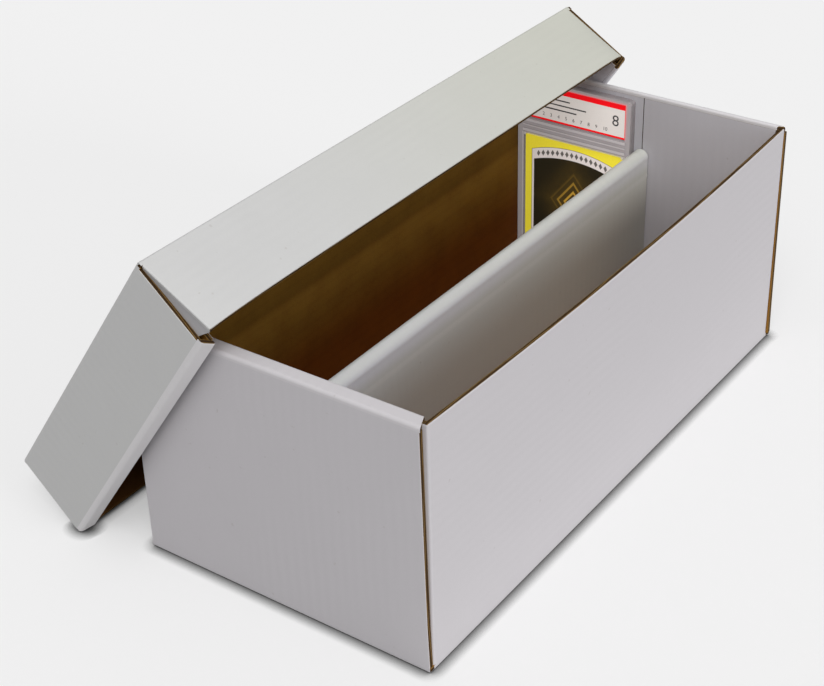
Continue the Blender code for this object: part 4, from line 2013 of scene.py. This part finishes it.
@dataclass(frozen=True)
class Studio:
    """Floor, light and camera.

    Attributes:
        sky: Strength of the even light from all round.
        sky_colour: Its colour.
        lamps: The wide lamps.
        spot: The spot on the holder.
        backdrop: How bright the background shows.
        floor_bounce: The floor's diffuse colour, as it lights the box.
        side_bounce: The same along the box's right side, a painted pool of light.
        floor_seen: The floor's diffuse colour, as the camera sees it.
        eye: Where the camera stands.
        right: The picture's right, in the row's frame.
        down: The picture's down.
        focal_pixels: Focal length in pixels of the picture.
        picture: Its width and height in pixels.
        principal: Where the optical axis meets it, in pixels.
        sensor: The width of the camera's sensor in millimetres.
        near_clip: From where on the camera sees.
    """

    sky: float = 0.525
    sky_colour: Colour = (1.0, 0.995, 1.0)
    lamps: tuple[Lamp, ...] = (
        Lamp("side_lamp", 0.30, (1.0, -0.05, 0.20), 24.0),
        Lamp("top_lamp", 0.41, (0.35, -0.5, 0.79), 36.0),
    )
    spot: Spot = Spot((-0.012, -0.090, 0.160), (-0.047, 0.174, 0.090), 0.66, 60.0)
    backdrop: float = 0.88
    floor_bounce: float = 0.28
    side_bounce: float = 0.62
    floor_seen: float = 0.50
    eye: tuple[float, float, float] = (0.4637, -0.7043, 0.5827)
    right: tuple[float, float, float] = (0.8168, 0.5763, -0.0259)
    down: tuple[float, float, float] = (0.2819, -0.438, -0.8536)
    focal_pixels: float = 1718.8
    picture: tuple[int, int] = (824, 686)
    principal: tuple[float, float] = (415.15, 333.23)
    sensor: float = 36.0
    near_clip: float = 10.0 * MM

    def floor(self) -> None:
        """Lay the floor, which glows as much as it lacks to show like the background."""
        shape = bmesh.new()
        bmesh.ops.create_grid(shape, x_segments=1, y_segments=1, size=6.0)
        mesh = bpy.data.meshes.new("studio_floor")
        shape.to_mesh(mesh)
        shape.free()
        lamps = sum(lamp.strength * Vector(lamp.source).normalized().z for lamp in self.lamps)
        glow = self.backdrop - self.floor_seen * (self.sky + lamps)
        look = (self.floor_seen, glow, self.floor_bounce, self.side_bounce)
        mesh.materials.append(FloorFinish("pale_floor", *look).build())
        stand("studio_floor", mesh)

    def light(self) -> None:
        """Light the box evenly from all round, and softly from its lamps."""
        world = bpy.data.worlds.new("studio_light")
        bpy.context.scene.world = world
        world.use_nodes = True
        nodes, links = world.node_tree.nodes, world.node_tree.links
        background = nodes["Background"]
        background.inputs["Color"].default_value = (*self.sky_colour, 1.0)
        path = nodes.new("ShaderNodeLightPath")
        seen = nodes.new("ShaderNodeMath")
        seen.operation = "MAXIMUM"
        links.new(path.outputs["Is Camera Ray"], seen.inputs[0])
        links.new(path.outputs["Is Transmission Ray"], seen.inputs[1])
        strength = nodes.new("ShaderNodeMapRange")
        strength.inputs["To Min"].default_value = self.sky
        strength.inputs["To Max"].default_value = self.backdrop
        links.new(seen.outputs[0], strength.inputs["Value"])
        links.new(strength.outputs["Result"], background.inputs["Strength"])
        for lamp in (*self.lamps, self.spot):
            lamp.build()

    def camera(self) -> None:
        """Stand the camera where the photograph was taken from."""
        right = Vector(self.right).normalized()
        back = right.cross(-Vector(self.down)).normalized()
        width, height = self.picture
        data = bpy.data.cameras.new("camera")
        data.sensor_width = self.sensor
        data.lens = self.focal_pixels / width * self.sensor
        data.shift_x = (width / 2 - self.principal[0]) / width
        data.shift_y = (self.principal[1] - height / 2) / width
        data.clip_start = self.near_clip
        turn = Matrix((right, back.cross(right), back)).transposed().to_4x4()
        bpy.context.scene.camera = stand("camera", data, Matrix.Translation(self.eye) @ turn)

    def build(self) -> None:
        """Set up the whole studio."""
        self.floor()
        self.light()
        self.camera()
        bpy.context.scene.view_settings.view_transform = "Standard"


# ---- The box


def build_tray(bench: Bench, kraft: Material, raw: Material) -> None:
    """Build the tray, whose right wall bows out.

    Args:
        bench: Where pieces are finished.
        kraft: The board's inner liner.
        raw: Its cut edge.
    """
    # Painted light and shade: the inner panels' and rim strips' liners are lighter copies of the
    # tray's liner, and the inner panels darken towards their foot with painted shade.
    foot = ((0.30, 0.29, 0.31), 0.62)
    rubbed = Rub(125.0 * MM, 50.0 * MM, foot, foot)
    liners = {
        Panel.INNER: LinerFinish("tray_inner_liner", (0.665, 0.655, 0.695), rubbed=rubbed),
        Panel.NEAR_RIM: LinerFinish("tray_near_rim_liner", (0.645, 0.622, 0.640)),
        Panel.FAR_RIM: LinerFinish("tray_far_rim_liner", (0.77, 0.75, 0.765)),
    }
    # Painted shadow and shade: the left wall's inner face is darker and olive near its top, where
    # the lid's shadow falls, and darker and redder towards its foot.
    shaded_wall_kraft = KraftFinish(
        "tray_wall_kraft", (0.37, 0.190, 0.028), (0.229, 0.104, 0.012),
        tints=(
            Tint(90.0 * MM, 98.0 * MM, (0.62, 0.62, 0.50)),
            Tint(88.0 * MM, 42.0 * MM, (0.60, 0.325, 0.18)),
        ),
    )
    height, bow = 146.0 * MM, 4.0 * MM
    tray = FoldedBlank(
        prefix="tray", base_node="tray_base", body=Body.TRAY, slot="tray_board",
        width=184.0 * MM, length=381.0 * MM, height=height,
        flap_reach=80.0 * MM, flap_taper=8.0 * MM, halves=2, place=Matrix.Identity(4),
        side_words={Side.LOW_X: "left", Side.HIGH_X: "right"},
        leans={Side.HIGH_X: Lean(bow / height, dict.fromkeys(End, 0.0), is_bow=True)},
        rises={End.FAR: (3.8 * MM, 3.8 * MM)},
        strip_cuts={End.NEAR: (2.0 * MM, 6.2 * MM), End.FAR: (1.0 * MM, 2.4 * MM)},
        end_cuts={
            (Side.HIGH_X, End.NEAR): (0.4 * MM, 2.9 * MM),
            (Side.HIGH_X, End.FAR): (-1.1 * MM, -0.1 * MM),
        },
        liners={kind: finish.build() for kind, finish in liners.items()},
        krafts={"tray_left_wall": shaded_wall_kraft.build()},
    )
    tray.build(bench, (LinerFinish("tray_liner", (0.60, 0.579, 0.600)).build(), kraft, raw))


def build_lid(bench: Bench, kraft: Material, raw: Material) -> None:
    """Build the lid, which leans on the tray with its lower rim on the floor.

    Args:
        bench: Where pieces are finished.
        kraft: The board's inner liner.
        raw: Its cut edge.
    """
    # Painted light and shade: the inner panels and near rim strip are lighter copies of the lid's
    # liner, the flaps a darker copy, and the lower wall's kraft is darkened with painted shade.
    inner = LinerFinish("lid_inner_liner", (0.70, 0.685, 0.725)).build()
    liners = {
        Panel.INNER: inner, Panel.FAR_RIM: inner,
        Panel.NEAR_RIM: LinerFinish("lid_rim_liner", (0.73, 0.715, 0.725)).build(),
        Panel.FLAP: LinerFinish("lid_flap_liner", (0.49, 0.485, 0.50)).build(),
    }
    shaded_wall_kraft = KraftFinish("lid_wall_kraft", (0.16, 0.066, 0.014), (0.10, 0.038, 0.007)).build()
    width, depth, shift = 193.0 * MM, 51.0 * MM, -1.5 * MM
    tilt = math.pi - math.radians(55.80045)
    leaning = Matrix.Translation((-133.547 * MM, 0, 0)) @ Matrix.Rotation(tilt, 4, "Y")
    upper_wall = Lean(
        math.radians(14.0), {End.NEAR: math.radians(11.0), End.FAR: math.radians(2.6)},
        {End.NEAR: 20.0 * MM, End.FAR: 10.0 * MM}, bulge={End.NEAR: (3.0 * MM, 2.5 * MM)},
        dips={End.FAR: (3.0 * MM, 14.0 * MM)},
    )
    lid = FoldedBlank(
        prefix="lid", base_node="lid_top_panel", body=Body.LID, slot="lid_board",
        width=width, length=404.2 * MM, height=depth,
        flap_reach=58.0 * MM, flap_taper=16.961 * MM, halves=1,
        place=leaning @ Matrix.Translation((-width / 2, shift, -depth)),
        side_words={Side.LOW_X: "upper", Side.HIGH_X: "lower"},
        leans={Side.LOW_X: upper_wall},
        rises={End.NEAR: (2.1 * MM, 3.5 * MM), End.FAR: (0.5 * MM, 2.0 * MM)},
        strip_cuts=dict.fromkeys(End, (0.5 * MM, 4.5 * MM)),
        end_cuts={
            (Side.LOW_X, End.NEAR): (2.8 * MM, 2.5 * MM),
            (Side.LOW_X, End.FAR): (1.0 * MM, 0.7 * MM),
        },
        draws={(Side.LOW_X, End.FAR): 2.0 * MM},
        slack=Slack(3.6 * MM, 1.4 * MM, 1.5 * MM), raw_inset=1.5 * MM,
        liners=liners, krafts={"lid_lower_wall": shaded_wall_kraft},
    )
    liner = LinerFinish("lid_liner", (0.605, 0.605, 0.60), (0.575, 0.58, 0.515)).build()
    lid.build(bench, (liner, kraft, raw))


def build_divider(bench: Bench, kraft: Material, raw: Material) -> None:
    """Build the divider.

    Args:
        bench: Where pieces are finished.
        kraft: The board's inner liner.
        raw: Its cut edge.
    """
    # Painted light and shade: a liner lighter than the tray's, lit towards the top of its face,
    # shaded towards its foot and far end, with a painted highlight on the score.
    painted_top_light = (1.21, 1.21, 1.31)
    liner = LinerFinish(
        "divider_liner", (0.715, 0.73, 0.73), (0.755, 0.77, 0.715), scored=95.3 * MM,
        rubbed=Rub(95.0 * MM, 64.0 * MM, ((0.38, 0.28, 0.19), 0.34), ((0.20, 0.19, 0.18), 0.66)),
        tints=(
            Tint(97.0 * MM, 105.0 * MM, painted_top_light),
            Tint(107.5 * MM, 111.5 * MM, tuple(1 / part for part in painted_top_light)),
            Tint(94.0 * MM, 84.0 * MM, (0.91, 0.90, 0.89)),
        ),
    ).build()
    Divider().build(bench, (liner, kraft, raw))


def main() -> None:
    """Build the box, dress it and light it."""
    logging.basicConfig(level=logging.INFO, format="%(name)s %(message)s")
    bench = Bench()
    kraft = KraftFinish("kraft_liner", (0.35, 0.170, 0.027), (0.216, 0.093, 0.0115)).build()
    raw = RawEdgeFinish("raw_edge").build()
    for build in (build_tray, build_lid, build_divider):
        build(bench, kraft, raw)
    CardHolder().build(bench)
    Studio().build()
    LOG.info("%d pieces", len(bench.made))


if __name__ == "__main__":
    main()
